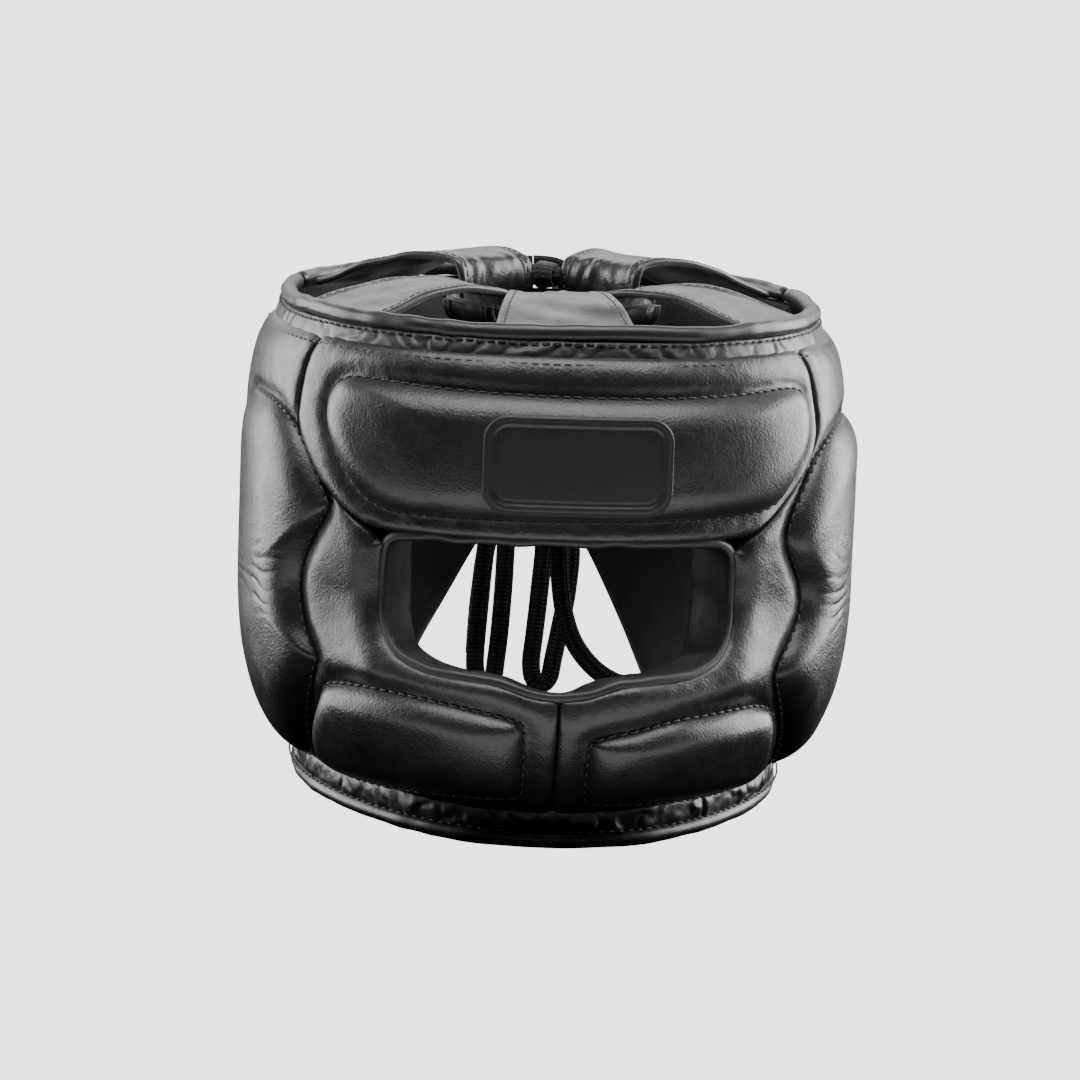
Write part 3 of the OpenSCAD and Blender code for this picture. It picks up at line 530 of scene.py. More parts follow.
# %% Camera
CENTRE = np.array([0.0, RING_Y, 90.0]) * MM
CAMERA_FAR, CAMERA_TURN, CAMERA_RISE, CAMERA_ROLL = 1.4, -3.5, 10.0, 2.2
turn, rise, roll = (math.radians(a) for a in (CAMERA_TURN, CAMERA_RISE, CAMERA_ROLL))
back = np.array([math.sin(turn) * math.cos(rise), -math.cos(turn) * math.cos(rise), math.sin(rise)])
level = np.cross(-back, [0, 0, 1])
level /= np.linalg.norm(level)
upright = np.cross(level, -back)
right = math.cos(roll) * level + math.sin(roll) * upright
up = -math.sin(roll) * level + math.cos(roll) * upright
lens = bpy.data.cameras.new("camera")
lens.lens, lens.sensor_width, lens.clip_end = 120.0, 36.0, 100.0
camera = bpy.data.objects.new("camera", lens)
bpy.context.scene.collection.objects.link(camera)
place = CENTRE + CAMERA_FAR * back
camera.matrix_world = Matrix([[right[i], up[i], back[i], place[i]] for i in range(3)] + [[0, 0, 0, 1]])
bpy.context.scene.camera = camera

# %% Floor, sky and lights
FLOOR_HALF, PALE = 30.0, 2.9
mesh = bpy.data.meshes.new("floor")
corners = [(x * FLOOR_HALF, y * FLOOR_HALF, 0) for x, y in ((-1, -1), (1, -1), (1, 1), (-1, 1))]
mesh.from_pydata(corners, [], [(0, 1, 2, 3)])
floor = bpy.data.objects.new("floor", mesh)
bpy.context.scene.collection.objects.link(floor)
paper, tree, shader = new_material("matt_studio_paper", Roughness=1.0, Base_Color=colour("#1a1a1a"))
shader.inputs["Emission Color"].default_value = colour("#ffffff")
shader.inputs["Emission Strength"].default_value = PALE
shader.inputs["Specular IOR Level"].default_value = 0.0
mesh.materials.append(paper)
floor.visible_glossy = floor.visible_diffuse = False

world = bpy.context.scene.world or bpy.data.worlds.new("studio")
bpy.context.scene.world = world
world.use_nodes = True
world.node_tree.nodes["Background"].inputs["Color"].default_value = colour("#ffffff")
world.node_tree.nodes["Background"].inputs["Strength"].default_value = PALE
world.cycles_visibility.glossy = world.cycles_visibility.diffuse = False


def soft_light(name, at, size, watts, aim=(0, 0, 0.1)):
    """A rectangular panel at a point, in metres, that faces the aim."""
    data = bpy.data.lights.new(name, "AREA")
    data.shape, data.size, data.size_y, data.energy = "RECTANGLE", size[0], size[1], watts
    made = bpy.data.objects.new(name, data)
    bpy.context.scene.collection.objects.link(made)
    z = np.array(at, float) - np.array(aim, float)
    z /= np.linalg.norm(z)
    x = np.cross([0, 0, 1], z) if abs(z[2]) < 0.99 else np.array([1.0, 0, 0])
    x /= np.linalg.norm(x)
    y = np.cross(z, x)
    made.matrix_world = Matrix([[x[i], y[i], z[i], at[i]] for i in range(3)] + [[0, 0, 0, 1]])
    made.visible_camera = False


soft_light("overhead_panel", (0, -0.35, 1.6), (1.8, 1.0), 44)
soft_light("left_panel", (-1.25, 0.5, 0.35), (1.3, 1.2), 42)
soft_light("right_panel", (1.25, 0.4, 0.45), (1.3, 1.3), 58)
soft_light("front_panel", (0.0, -2.3, 0.5), (2.0, 0.9), 2)
soft_light("table_card", (0, -0.28, 0.01), (0.9, 0.24), 1.5, (0, -0.28, 1))
soft_light("rear_panel", (0, 1.5, 0.9), (1.8, 0.9), 14)
print("camera at", place.round(3).tolist())

# %% [markdown]
# ## The laces
# The bow behind the neck is the only loose cord: two loops and two tails of flat cotton lace that
# hang from the knot. Each keeps its real length, follows the route measured for it, and is a strip 8 mm
# wide carried along that route. A curve with a bevel would do for a round cord, but a flat lace has
# to keep its face turned the same way, so the strip is a mesh with its own width.

# %% Bow: knot, two loops and two tails with plastic tips
LACE_W, LACE_THICK = 8.0, 1.4
KNOT_Z, BOW_Y = 92.0, 136.2
# Distances from the knot in mm: sideways, back and down
BOW_ROUTES = {
    "left_bow_loop": [(4.8, 0, 7), (6.5, 1, 13), (9.5, 2, 24), (8.5, 2.5, 45), (7, 3, 65), (6, 3.5, 77),
                      (7, 3.5, 84.5), (10.5, 3.5, 87.6), (14, 4, 84.5), (15.5, 4, 76), (18, 5, 62),
                      (20.5, 5.5, 46), (21, 5.5, 26), (14, 5, 12), (6, 5, 5.5)],
    "right_bow_loop": [(-4.8, 0, 7), (-5.5, 1, 13), (-6.5, 2, 24), (-7, 2.5, 45), (-8, 3, 65), (-9, 3.5, 77),
                       (-10, 3.5, 84.5), (-13.5, 3.5, 87.6), (-17, 4, 84.5), (-18, 4, 76), (-17, 5, 58),
                       (-15.5, 5.5, 35), (-13, 5.5, 18), (-6, 5, 5.5)],
    "left_bow_tail": [(3, -5, 5), (8, -5, 12), (15, -4, 24), (16.5, -3.5, 40), (19, -3, 55), (24, -2.5, 68),
                      (32, -2, 78), (41, -1.5, 84), (49, -1, 86)],
    "right_bow_tail": [(-3, 7.5, 7), (-8, 11, 14), (-14, 12, 28), (-16.5, 12, 48), (-17.5, 11.5, 62),
                       (-18, 11, 76)],
}
TIP_LENGTH = 11.0


def lace_strip(path, w=LACE_W, thick=LACE_THICK, up=(0, 1, 0), closed=False, sides=12):
    """A flat strip with rounded edges along a path, and its UV: mm round the strip and mm along it."""
    rings = sweep(path, np.asarray(up, float), oval(w, thick, sides, 0.55), closed)
    run = np.concatenate([[0], np.cumsum(np.linalg.norm(np.diff(path, axis=0), axis=1))])
    round_it = np.linspace(0, 2 * w, sides)
    uv = np.stack(np.broadcast_arrays(round_it[None], run[:, None]), -1).reshape(-1, 2)
    skin = tube_skin(rings, closed)
    return skin, uv if closed else np.vstack([uv, [w, run[0]], [w, run[-1]]])


for name, route in BOW_ROUTES.items():
    route = np.array(route, float)
    route = np.stack([route[:, 0], BOW_Y + route[:, 1], KNOT_Z - route[:, 2]], 1)
    path = spline(route, 90)
    skin, uv = lace_strip(path)
    lace = add_piece(name + "_cotton", [skin], cotton, replaces=[name], uv=uv)
    length = np.linalg.norm(np.diff(path, axis=0), axis=1).sum()
    if name.endswith("tail"):
        away = (path[-1] - path[-3]) / np.linalg.norm(path[-1] - path[-3])
        line = path[-1] + away * np.linspace(-2.5, TIP_LENGTH, 14)[:, None]
        waist = 1 - 0.12 * np.exp(-((np.arange(14) - 2.5) / 1.2) ** 2)
        rings = sweep(line, np.array([0.0, 1, 0]), oval(4.4, 2.8, 16, 0.8), scale=waist)
        tip = name.split("_")[0] + "_lace_tip"
        extra = [add_piece(tip + "_moulded", [tube_skin(rings)], tip_plastic,
                           replaces=[tip])]
    print(name, round(length), "mm")

# The knot: two turns of lace round a lying core and one turn across them
turns = np.linspace(0, 2.15 * 2 * np.pi, 90)
wrap = np.stack([-4.8 + 9.2 * turns / turns[-1], BOW_Y + 3.6 * np.cos(turns),
                 KNOT_Z + 3.9 * np.sin(turns)], 1)
out = np.stack([0 * turns, np.cos(turns), np.sin(turns)], 1)
wrap_skin, wrap_uv = lace_strip(wrap, 7.0, 1.5, out)
turns = np.linspace(0, 2 * np.pi, 60, endpoint=False)
cross = np.stack([0.8 * np.sin(2 * turns), BOW_Y + 5.2 * np.cos(turns), KNOT_Z + 5.4 * np.sin(turns)], 1)
out = np.stack([0 * turns, np.cos(turns), np.sin(turns)], 1)
cross_skin, cross_uv = lace_strip(cross, 6.5, 1.5, out, True)
middle = np.stack([np.linspace(-7, 7, 8), np.full(8, BOW_Y), np.full(8, KNOT_Z)], 1)
core = sweep(middle, np.array([0.0, 1, 0]), oval(6, 6, 14))
add_piece("bow_knot_cotton", [wrap_skin, cross_skin, tube_skin(core)], cotton,
          replaces=["bow_knot"], uv=np.vstack([wrap_uv, cross_uv, np.zeros((8 * 14 + 2, 2))]))

# %% [markdown]
# ## Where the leather is sewn
# The raised pads are sewn down along a closed line of stitches, and the line pulls a groove into the
# leather around it. Each outline is a smooth curve through a few knots of angle and height, and both
# the pad and the panel under it are shaped by how far a point lies from that one curve.

# %% Outlines of the pads, the patch and the eye opening, as angle and height
OUTLINES = {
    "forehead_raised_pad": [
        (-45.2, 154), (-44.7, 159.4), (-43.4, 162.8), (-41, 164.9), (-37.2, 165.7), (-30, 165.3),
        (-18, 164.4), (0, 163.6), (14, 163.5), (27, 164), (39, 164.8), (45, 164.9), (48.6, 163.6),
        (50.3, 160.6), (50.4, 156), (49.8, 149), (47.6, 140), (44.6, 131.4), (41.8, 125.6), (38.6, 122.6),
        (34, 121.2), (26, 120.4), (12, 119.8), (0, 119.5), (-14, 119.1), (-24, 119.1), (-29, 119.6),
        (-32.8, 121.6), (-36, 125), (-39.4, 131.5), (-42.6, 140.6), (-44.6, 148)],
    "right_bar_pad": [
        (-45.4, 49), (-43.9, 52.6), (-41, 54.4), (-36.5, 55.4), (-30, 56), (-22, 55.3), (-14, 53.8),
        (-8.4, 52), (-5.4, 49.8), (-4.5, 46.8), (-4.4, 41), (-4.4, 33), (-4.6, 25), (-4.9, 21.6),
        (-6.4, 19.8), (-11, 18.9), (-20, 17.9), (-30, 16.2), (-40, 15), (-47, 14.8), (-51, 16.4),
        (-53, 20.5), (-52.4, 27), (-50, 35.5), (-47.4, 43)],
    "left_bar_pad": [
        (4.4, 40), (4.9, 43.2), (7.2, 45.4), (12, 47.2), (16, 49), (20, 50.3), (26, 50.8), (33, 51),
        (39, 50.2), (42.8, 47.6), (44.9, 42), (46.6, 34), (48.4, 25), (48.6, 19), (46.4, 15.6),
        (41, 14.6), (32, 15), (22, 16.1), (12, 17.2), (7, 17.9), (5, 19.6), (4.4, 23), (4.3, 31)],
    "right_cheek_pad": [
        (-79, 150), (-74, 151.2), (-68, 151), (-62.4, 149.6), (-57.6, 146.4), (-53.6, 141.6),
        (-50.2, 135.4), (-47.2, 128), (-44.9, 121.6), (-44, 118.2), (-45.2, 113.6), (-48, 106),
        (-50.6, 97), (-51.8, 88), (-51.4, 80), (-49.8, 71), (-47.6, 64.4), (-46.8, 61.2), (-47.7, 57),
        (-49.9, 48), (-52.8, 37), (-55.6, 27), (-58.4, 19.6), (-62.4, 16.4), (-69, 16.6), (-76, 21.4),
        (-82, 31), (-86.4, 45), (-89, 65), (-90, 88), (-89.6, 110), (-87.4, 130), (-84, 143)],
    "left_cheek_pad": [
        (81, 146.5), (75, 147.6), (68, 146.6), (61.4, 143.8), (56.4, 139.4), (52.6, 133.4), (49.4, 126.6),
        (46.5, 119.4), (45.2, 114), (45.2, 108.6), (47.2, 101), (49.8, 93), (50.8, 86), (50, 79),
        (47.6, 72.4), (44.9, 65.8), (43.8, 60.6), (44.6, 56), (47.4, 47.6), (51.2, 38), (55, 28.6),
        (58.6, 20.8), (62.8, 17.2), (69, 17.2), (76, 22), (82, 31.6), (86.4, 45), (89, 65), (90, 88),
        (89.6, 108), (88, 127), (85.4, 139.6)],
}
EYE_KNOTS = [
    (0, 61), (3.4, 62), (6.4, 64.2), (9.6, 66), (14, 66.6), (19, 67), (23, 68.2), (26.6, 71), (28.9, 76),
    (29.9, 83), (30.1, 92), (30.1, 100), (29.7, 105.6), (27.6, 109), (23.6, 110.2), (16, 110.6),
    (8, 110.9), (0, 111)]
EYE_KNOTS += [(-t, z) for t, z in EYE_KNOTS[-2:0:-1]]
loops = {}
for name, knots in OUTLINES.items():
    loops[name], length = on_shell(spline(knots, 700, True), 420, True)
    print(name, "outline", round(length), "mm")
eye_loop, eye_length = on_shell(spline(EYE_KNOTS, 900, True), 400, True)


# Round the eyes, a degree of angle is about this many mm of leather
EYE_DEGREE = 2.2


def moved_out(loop, out_mm):
    """The eye's outline moved away from its middle: each point goes out along the line's own normal."""
    flat = loop * [EYE_DEGREE, 1.0]
    step = np.roll(flat, -1, 0) - np.roll(flat, 1, 0)
    away = np.stack([step[:, 1], -step[:, 0]], 1)
    return (flat + out_mm * away / np.linalg.norm(away, axis=1, keepdims=True)) / [EYE_DEGREE, 1.0]


if np.ptp(moved_out(eye_loop, 2)[:, 0]) < np.ptp(eye_loop[:, 0]):
    eye_loop = eye_loop[::-1]
print("eye opening outline", round(eye_length), "mm")


FLARE_SIDE, FLARE_LOW = 17.0, 6.5


def past(value, edge, width):
    """A bell curve's fall of this width beyond the edge, and 1 before it."""
    return np.exp(-(np.maximum(0, value - edge) / width) ** 2)


def eye_flare(t, z, share):
    """The opening widens towards the lining at its sides and foot, and this fades away from the opening."""
    side = smooth((np.abs(t) - 16) / 12) * past(np.abs(t), 30, 14) * smooth((116 - z) / 8)
    below = smooth((84 - z) / 14) * past(-z, -61, 8) * past(np.abs(t), 28, 8)
    return t + np.sign(t) * share * side * FLARE_SIDE / EYE_DEGREE, z - share * below * FLARE_LOW


def seam_at(z):
    """The angle of the forehead panel's side seam at height z, from 55 in an arc down to the eye's corner."""
    low, wide = EYE_TOP, EYE_TOP + 0.53 * (RIM_Z - EYE_TOP)
    down = (SEAM_WIDE_T - EYE_T) * ((wide - z) / (wide - low)) ** 2
    return SEAM_WIDE_T - np.where(z < wide, down, 3 * ((z - wide) / (RIM_Z - wide)) ** 2)

# %% [markdown]
# ## The padded panels
# The forehead and the two face halves are single skins of leather over foam. Modelling them as boxes
# with a subdivision would lose the sewn lines, so each is a dense grid over the shell's plan, pushed in
# along its seams, down under its pads and up where the foam swells between them.

# %% Relief of a panel
def panel_height(t, z, edges, pads, seed):
    """Height over the plan in mm: edges roll off, sewn lines pull grooves, and foam swells between them."""
    base = shell_point(t, z, 0)
    height = 0.35 * waves(base, 46, seed) + 0.03 * waves(base, 9, seed + 1)
    for line, depth, width in edges:
        d = distance(base, line)
        height += roll_off(d, depth, width) + 0.06 * waves(base, 7, seed + 2) * np.exp(-d / 7)
    for name in pads:
        loop = loops[name]
        d = distance(base, shell_point(loop[:, 0], loop[:, 1], 0), True)
        under = is_inside(t, z, loop[::3])
        height += groove(d, 2.0, 4.6) + 0.07 * waves(base, 6, seed + 3) * np.exp(-d / 6)
        height = np.where(under, np.minimum(height, -1.6) - 1.0 * smooth(d / 3), height)
    return height


def padded_panel(name, t, z, edges, pads, seed, replaces, material, swell=None, body="shell"):
    """A closed skin: leather at its height over the plan, a wall round it, and a back on the lining."""
    height = panel_height(t, z, edges, pads, seed)
    if swell is not None:
        height = height + swell(t, z)
    outer = shell_point(t, z, -height)
    inner = lining_point(*eye_flare(t, z, 1.0), 2.0)
    print(name, outer[..., 0].size, "points, height", height.min().round(1), "to", height.max().round(1))
    return add_piece(name, [slab_skin(outer, inner, 3)], material, body, replaces,
                     sharp=60)


# %% Forehead panel
v, u = np.meshgrid(np.linspace(0, 1, 100), np.linspace(-1, 1, 300))
z = EYE_TOP + 3.2 + (SHELL_TOP - EYE_TOP - 3.2) * v
t = u * (seam_at(z) - 0.45)
top = shell_point(t[:, -1], z[:, -1], 0)
low = shell_point(t[:, 0], z[:, 0], 0)
side_l, side_r = shell_point(t[0], z[0], 0), shell_point(t[-1], z[-1], 0)
padded_panel("forehead_panel", t, z, [(top, 4.0, 11), (low, 3.4, 9), (side_l, 1.9, 6), (side_r, 1.9, 6)],
             ["forehead_raised_pad"], 11, ["forehead_cover", "forehead_foam"], cowhide)

# %% Face panels: the side wall and its half of the face bar are one piece of hide
MID_T = 0.05


def face_grid(side):
    """Rows from the inner outline to the outer one, from the centre seam round the eye to the top."""
    ring = moved_out(eye_loop, 2.6)
    ring = ring[(side * ring[:, 0] > 0.35) & (ring[:, 1] < EYE_TOP - 1.5)]
    ring = ring[np.argsort(np.arctan2(ring[:, 1] - 88, side * ring[:, 0]))]
    heights = np.linspace(EYE_TOP + 0.6, SHELL_TOP, 60)
    seam = np.stack([side * (seam_at(heights) + 0.45 + 1.6 * np.exp(-(heights - EYE_TOP) / 3)), heights], 1)
    first = np.array([[side * MID_T, 61 - 2.6]])
    inner, _ = on_shell(np.vstack([first, ring, seam]), 340)
    corner = 0.42
    k = np.linspace(0, 1, 340)
    outer_t = side * np.interp(k, [0, corner, 1], [MID_T, SIDE_END_T, SIDE_END_T])
    outer_z = np.interp(k, [0, corner, 1], [SHELL_LOW, SHELL_LOW, SHELL_TOP])
    u = np.linspace(0, 1, 110)[:, None]
    return inner[:, 0] + u * (outer_t - inner[:, 0]), inner[:, 1] + u * (outer_z - inner[:, 1]), inner


def eye_swell(side):
    """The hide is pulled tight beside the eye and folds a little below its corner."""
    def swell(t, z):
        a, b = (side * t - 41) / 7, (z - 82) / 15
        c, d = (side * t - 33) / 4, (z - 62) / 9
        return -1.6 * np.exp(-a * a - b * b) + 1.2 * np.exp(-c * c - d * d)
    return swell


for side, hand in ((1, "left"), (-1, "right")):
    t, z, inner = face_grid(side)
    inner_line = shell_point(inner[:, 0], inner[:, 1], 0)
    eye_part = inner_line[inner[:, 1] < EYE_TOP]
    seam_part = inner_line[inner[:, 1] >= EYE_TOP]
    k = np.linspace(0, 1, 60)
    foot = shell_point(side * (MID_T + (SIDE_END_T - MID_T) * k), SHELL_LOW, 0)
    ear = shell_point(side * SIDE_END_T, SHELL_LOW + 165 * k, 0)
    crown = shell_point(side * (52 + 42 * k), SHELL_TOP, 0)
    middle = shell_point(side * MID_T, SHELL_LOW + 47 * k, 0)
    padded_panel(f"{hand}_face_panel", t, z,
                 [(eye_part, 4.2, 12), (seam_part, 1.9, 6), (foot, 5.5, 10), (ear, 4.0, 9),
                  (crown, 4.0, 11), (middle, 1.7, 5)],
                 [f"{hand}_cheek_pad", f"{hand}_bar_pad"], 21 if side > 0 else 31,
                 [f"{hand}_side_cover", f"{hand}_side_foam", f"{hand}_bar_cover"]
                 + (["bar_outer_foam", "bar_inner_foam"] if side > 0 else []), cowhide, eye_swell(side))

# %% [markdown]
# ## The raised pads
# Each pad is its own pillow of foam under leather. It could be pushed up out of the panel, but a
# separate closed piece can be replaced or repainted by itself. Rings run from the sewn outline to the
# middle, and the height over the outline grows like a quarter circle and then stays nearly level.

# %% Raised pads
def ring_grid(loop, rings, crowd=1.7):
    """Copies of the outline shrunk towards its middle, closer together near the outline."""
    middle = (loop.max(0) + loop.min(0)) / 2
    share = 1 - 0.985 * np.linspace(0, 1, rings) ** crowd
    return middle + share[:, None, None] * (loop - middle)


def pad_height(base, d, rise, shoulder, seed):
    """From the groove up to the rise: a superellipse's quarter, a slow swell and puckers at the stitches."""
    k = np.clip(d / shoulder, 0, 1)
    dome = (1 - (1 - k) ** 2.2) ** 0.7
    return (-1.9 + (rise + 1.9) * dome + 0.25 * waves(base, 30, seed) * k
            + 0.07 * waves(base, 6, seed + 1) * np.exp(-d / 6) * smooth(d / 1.5))


SOFT_STEPS = 9.0


def raised_pad(name, rise, shoulder, seed, rings=46, creases=None, ear_share=1.0):
    """The pillow's top, blurred along its rings by a bell curve so that no mitre shows, and an underside."""
    loop = loops[name]
    tz = ring_grid(loop, rings)
    base = shell_point(tz[..., 0], tz[..., 1], 0)
    edge = shell_point(loop[:, 0], loop[:, 1], 0)
    d = distance(base, edge, True)
    full = pad_height(base, d, rise, shoulder, seed)
    soft = np.exp(-2 * (np.pi * SOFT_STEPS * np.fft.rfftfreq(full.shape[1])) ** 2)
    full = np.fft.irfft(np.fft.rfft(full, axis=1) * soft, full.shape[1], axis=1)
    eased = 1 - (1 - ear_share) * smooth((np.abs(tz[..., 0]) - 58) / 30)
    height = np.where(full > 0, full * eased, full)
    if creases is not None:
        height = height + creases(tz[..., 0], tz[..., 1]) * smooth(d / 5)
    top = shell_point(tz[..., 0], tz[..., 1], -height)
    under = shell_point(tz[::9, :, 0], tz[::9, :, 1], 2.3)
    print(name, "stands", height.max().round(1), "mm over the plan")
    return add_piece(name + "_hide", [tube_skin(np.concatenate([top[::-1], under]))], cowhide,
                     replaces=[name], sharp=70)


def cheek_creases(side, seed):
    """Short folds across the waist of the cheek pad: waves 5 mm apart that fan out from the front edge."""
    def creases(t, z):
        a = (side * t - 66) / 11
        b = (z - 88 - 0.25 * (side * t - 60)) / 14
        base = shell_point(t, z, 0)
        phase = z * 1.15 + 2.2 * waves(base, 22, seed) + 0.08 * (side * t - 55) * (z - 88) / 4
        sharp = (0.5 + 0.5 * np.sin(phase)) ** 3
        return -0.45 * sharp * np.exp(-a * a - b * b) * (0.5 + 0.5 * smooth(0.5 + waves(base, 14, seed + 1)))
    return creases


raised_pad("forehead_raised_pad", 6.2, 13, 41, 52)
raised_pad("right_bar_pad", 6.0, 12, 43)
raised_pad("left_bar_pad", 6.0, 12, 45)
raised_pad("right_cheek_pad", 6.4, 16, 47, 54, cheek_creases(-1, 7), 0.3)
raised_pad("left_cheek_pad", 6.4, 16, 49, 54, cheek_creases(1, 8), 0.6)

# %% [markdown]
# ## Stitches, patch and the eye opening's edge
# A row of stitches could be a bump pattern, but then it would vanish from the side, so each stitch is a
# small capsule of thread that lies in its groove. The patch is a flat pillow with a turned edge and is
# left bare. The opening's edge is one strip of thin leather wrapped from the face through to the lining.

# %% Stitches round the raised pads
STITCH_SINK = 0.9
for name, loop in loops.items():
    line = shell_point(loop[:, 0], loop[:, 1], STITCH_SINK)
    normal = shell_normal(loop[:, 0], loop[:, 1])
    add_piece(name + "_stitches", [stitch_skins(line, normal, closed=True)], thread)

# %% Patch
PATCH_W, PATCH_H, PATCH_X, PATCH_Z, PATCH_CORNER = 64.0, 35.0, 4.0, 140.4, 9.0
corner = np.radians(np.linspace(0, 90, 12))
quarter = np.stack([PATCH_W / 2 - PATCH_CORNER + PATCH_CORNER * np.cos(corner),
                    PATCH_H / 2 - PATCH_CORNER + PATCH_CORNER * np.sin(corner)], 1)
flat = np.vstack([quarter, quarter[::-1] * [-1, 1], -quarter, quarter[::-1] * [1, -1]])
flat = even(flat, 240, True) + [PATCH_X, PATCH_Z]
patch_loop = np.stack([angle_at(flat[:, 0], flat[:, 1]), flat[:, 1]], 1)
tz = ring_grid(patch_loop, 40)
base = shell_point(tz[..., 0], tz[..., 1], 0)
d = distance(base, shell_point(patch_loop[:, 0], patch_loop[:, 1], 0), True)
hem = 0.9 * smooth(d / 0.8) - 0.55 * smooth((d - 3.0) / 0.9)
height = 6.3 + hem - 0.25 * np.exp(-((d - 4.6) / 0.5) ** 2) - 0.2 * np.exp(-((d - 1.3) / 0.4) ** 2)
top = shell_point(tz[..., 0], tz[..., 1], -height)
under = shell_point(tz[::9, :, 0], tz[::9, :, 1], -4.9)
add_piece("patch_leather_blank", [tube_skin(np.concatenate([top[::-1], under]))], patch_hide,
          replaces=["forehead_patch"], sharp=70)
rows = []
patch_middle = np.array([patch_loop[:, 0].mean(), PATCH_Z])
for inset, lift in ((1.3, 6.95), (4.6, 6.5)):
    row = (patch_loop - patch_middle) * [1 - 2 * inset / PATCH_W, 1 - 2 * inset / PATCH_H] + patch_middle
    rows.append(stitch_skins(shell_point(row[:, 0], row[:, 1], -lift), shell_normal(row[:, 0], row[:, 1]),
                             pitch=3.0, length=2.3, thick=0.6, closed=True))
add_piece("patch_stitches", rows, thread)


# %% Edge of the eye opening
def through_wall(tz, depth):
    """A point this far, in mm, from the leather towards the lining: a share of the line between them."""
    t, z = eye_flare(tz[:, 0], tz[:, 1], np.clip(depth / WALL_FRONT, 0, 1))
    a, b = shell_point(t, z, 0), lining_point(t, z, 0)
    return a + (b - a) * depth / WALL_FRONT


# Distance out from the opening's outline, and depth behind the leather's face
EYE_PROFILE = [(3.6, 5.6), (3.3, 4.2), (2.4, 3.3), (1.0, 2.9), (-0.2, 3.3), (-0.9, 4.4), (-0.8, 5.8),
               (-0.2, 7.2), (0.1, 9), (0.2, 14), (0.2, 20), (0.1, 26), (0, 31), (-0.2, 34), (0.2, 36),
               (1.4, 37), (3.2, 37.3), (5.5, 37.2), (5.5, 35.8), (3, 35), (2, 31), (2, 20), (2.1, 10),
               (2.6, 7)]
rings = []
for out_mm, depth in EYE_PROFILE:
    spot = np.stack([eye_loop[:, 0] * EYE_DEGREE, eye_loop[:, 1], np.full(len(eye_loop), float(depth))], 1)
    soft = 0.22 * waves(spot, 16, 61)
    rings.append(through_wall(moved_out(eye_loop, out_mm + soft[:, None]), depth))
add_piece("eye_opening_binding", [tube_skin(np.array(rings), True)], patch_hide,
          replaces=["eye_binding"], sharp=80)

# %% [markdown]
# ## Rims: gathered strips and round welts
# Between the panels and each rim runs a narrow strip of nappa. It is cut longer than the edge it is
# sewn to, so it gathers into small folds. Cloth simulation could gather it, but the folds are only a few
# millimetres wide, so waves across the strip whose phase wanders give the same crumpled look directly.

# %% Gathered strips
def gathered_strip(name, t_lo, t_hi, z_lo, z_hi, inward_lo, inward_hi, fold_mm, deep, seed, replaces,
                   cols=1100):
    """A thin closed strip with a folded face: waves along the rim, bent by noise and level at both edges."""
    t, z = np.meshgrid(np.linspace(t_lo, t_hi, cols), np.linspace(z_lo, z_hi, 18), indexing="ij")
    inward = inward_lo + (inward_hi - inward_lo) * (z - z_lo) / (z_hi - z_lo)
    base = shell_point(t, z, inward)
    run = np.concatenate([[0], np.cumsum(np.linalg.norm(np.diff(base[:, 9], axis=0), axis=1))])[:, None]
    v = (z - z_lo) / (z_hi - z_lo)
    drift = 2.6 * waves(base, 24, seed) + 0.9 * waves(base, 7, seed + 1)
    slant = 1.8 * waves(base, 40, seed + 2) * (v - 0.5)
    fold = (0.5 + 0.5 * np.sin(2 * np.pi * run / fold_mm + drift + 3 * slant)) ** 0.8
    puff = np.sin(np.pi * v) ** 0.6
    size = 0.45 + 0.55 * smooth(0.5 + 0.8 * waves(base, 30, seed + 3))
    height = deep * puff * (0.35 + fold * size) + 0.06 * deep * waves(base, 5, seed + 4) * puff
    outer = shell_point(t, z, inward - height)
    inner = shell_point(t, z, inward + 2.2)
    return add_piece(name, [slab_skin(outer, inner)], nappa, "shell", replaces, sharp=75)


HINGE_GAP = 0.6
gathered_strip("crown_gathering", -HINGE_T + HINGE_GAP, HINGE_T - HINGE_GAP, 175.4, 182.4, 4.0, 4.4,
               11.0, 0.6, 71, ["crown_gusset"])
gathered_strip("chin_gathering", -SIDE_END_T, SIDE_END_T, 5.0, 14.8, -3.4, 3.6,
               15.0, 1.1, 81, ["chin_gusset"], cols=1000)


# %% Welts and their stitches
def welt_path(t_lo, t_hi, z, inward, count, sway, seed):
    """The rim's line at height z, which sways up and down a little as hand-turned piping does."""
    tz, _ = on_shell(np.stack([np.linspace(t_lo, t_hi, 400), np.full(400, z)], 1), count, inward=inward)
    path = shell_point(tz[:, 0], tz[:, 1], inward)
    ends = np.sin(np.pi * np.linspace(0, 1, count)) ** 0.3
    path[:, 2] += sway * waves(path, 60, seed) * ends
    return path


def welt(name, paths, replaces, body="shell", radius=PIPING_R - 0.1):
    """Round piping along one or more paths, a little thicker and thinner by turns, with closed ends."""
    skins = []
    for number, path in enumerate(paths):
        girth = 1 + 0.05 * waves(path, 14, 90 + number)
        ends = np.minimum(np.arange(len(path)), np.arange(len(path))[::-1])
        girth = girth * np.minimum(1, 0.72 + 0.1 * ends)
        round_section = oval(2 * radius, 2 * radius, 18)
        skins.append(tube_skin(sweep(path, np.array([0.0, 0, 1]), round_section, scale=girth)))
    return add_piece(name, skins, nappa, body, replaces, sharp=80)


RIM_WELT_Z, FOOT_WELT_Z = 184.75, 3.35
crown_path = welt_path(-HINGE_T + HINGE_GAP, HINGE_T - HINGE_GAP, RIM_WELT_Z, 5.2, 420, 0.5, 72)
foot_path = welt_path(-SIDE_END_T, SIDE_END_T, FOOT_WELT_Z, -3.8, 360, 0.0, 82)
welt("crown_welt", [crown_path], ["crown_piping"])
welt("foot_welt", [foot_path], ["chin_piping"])


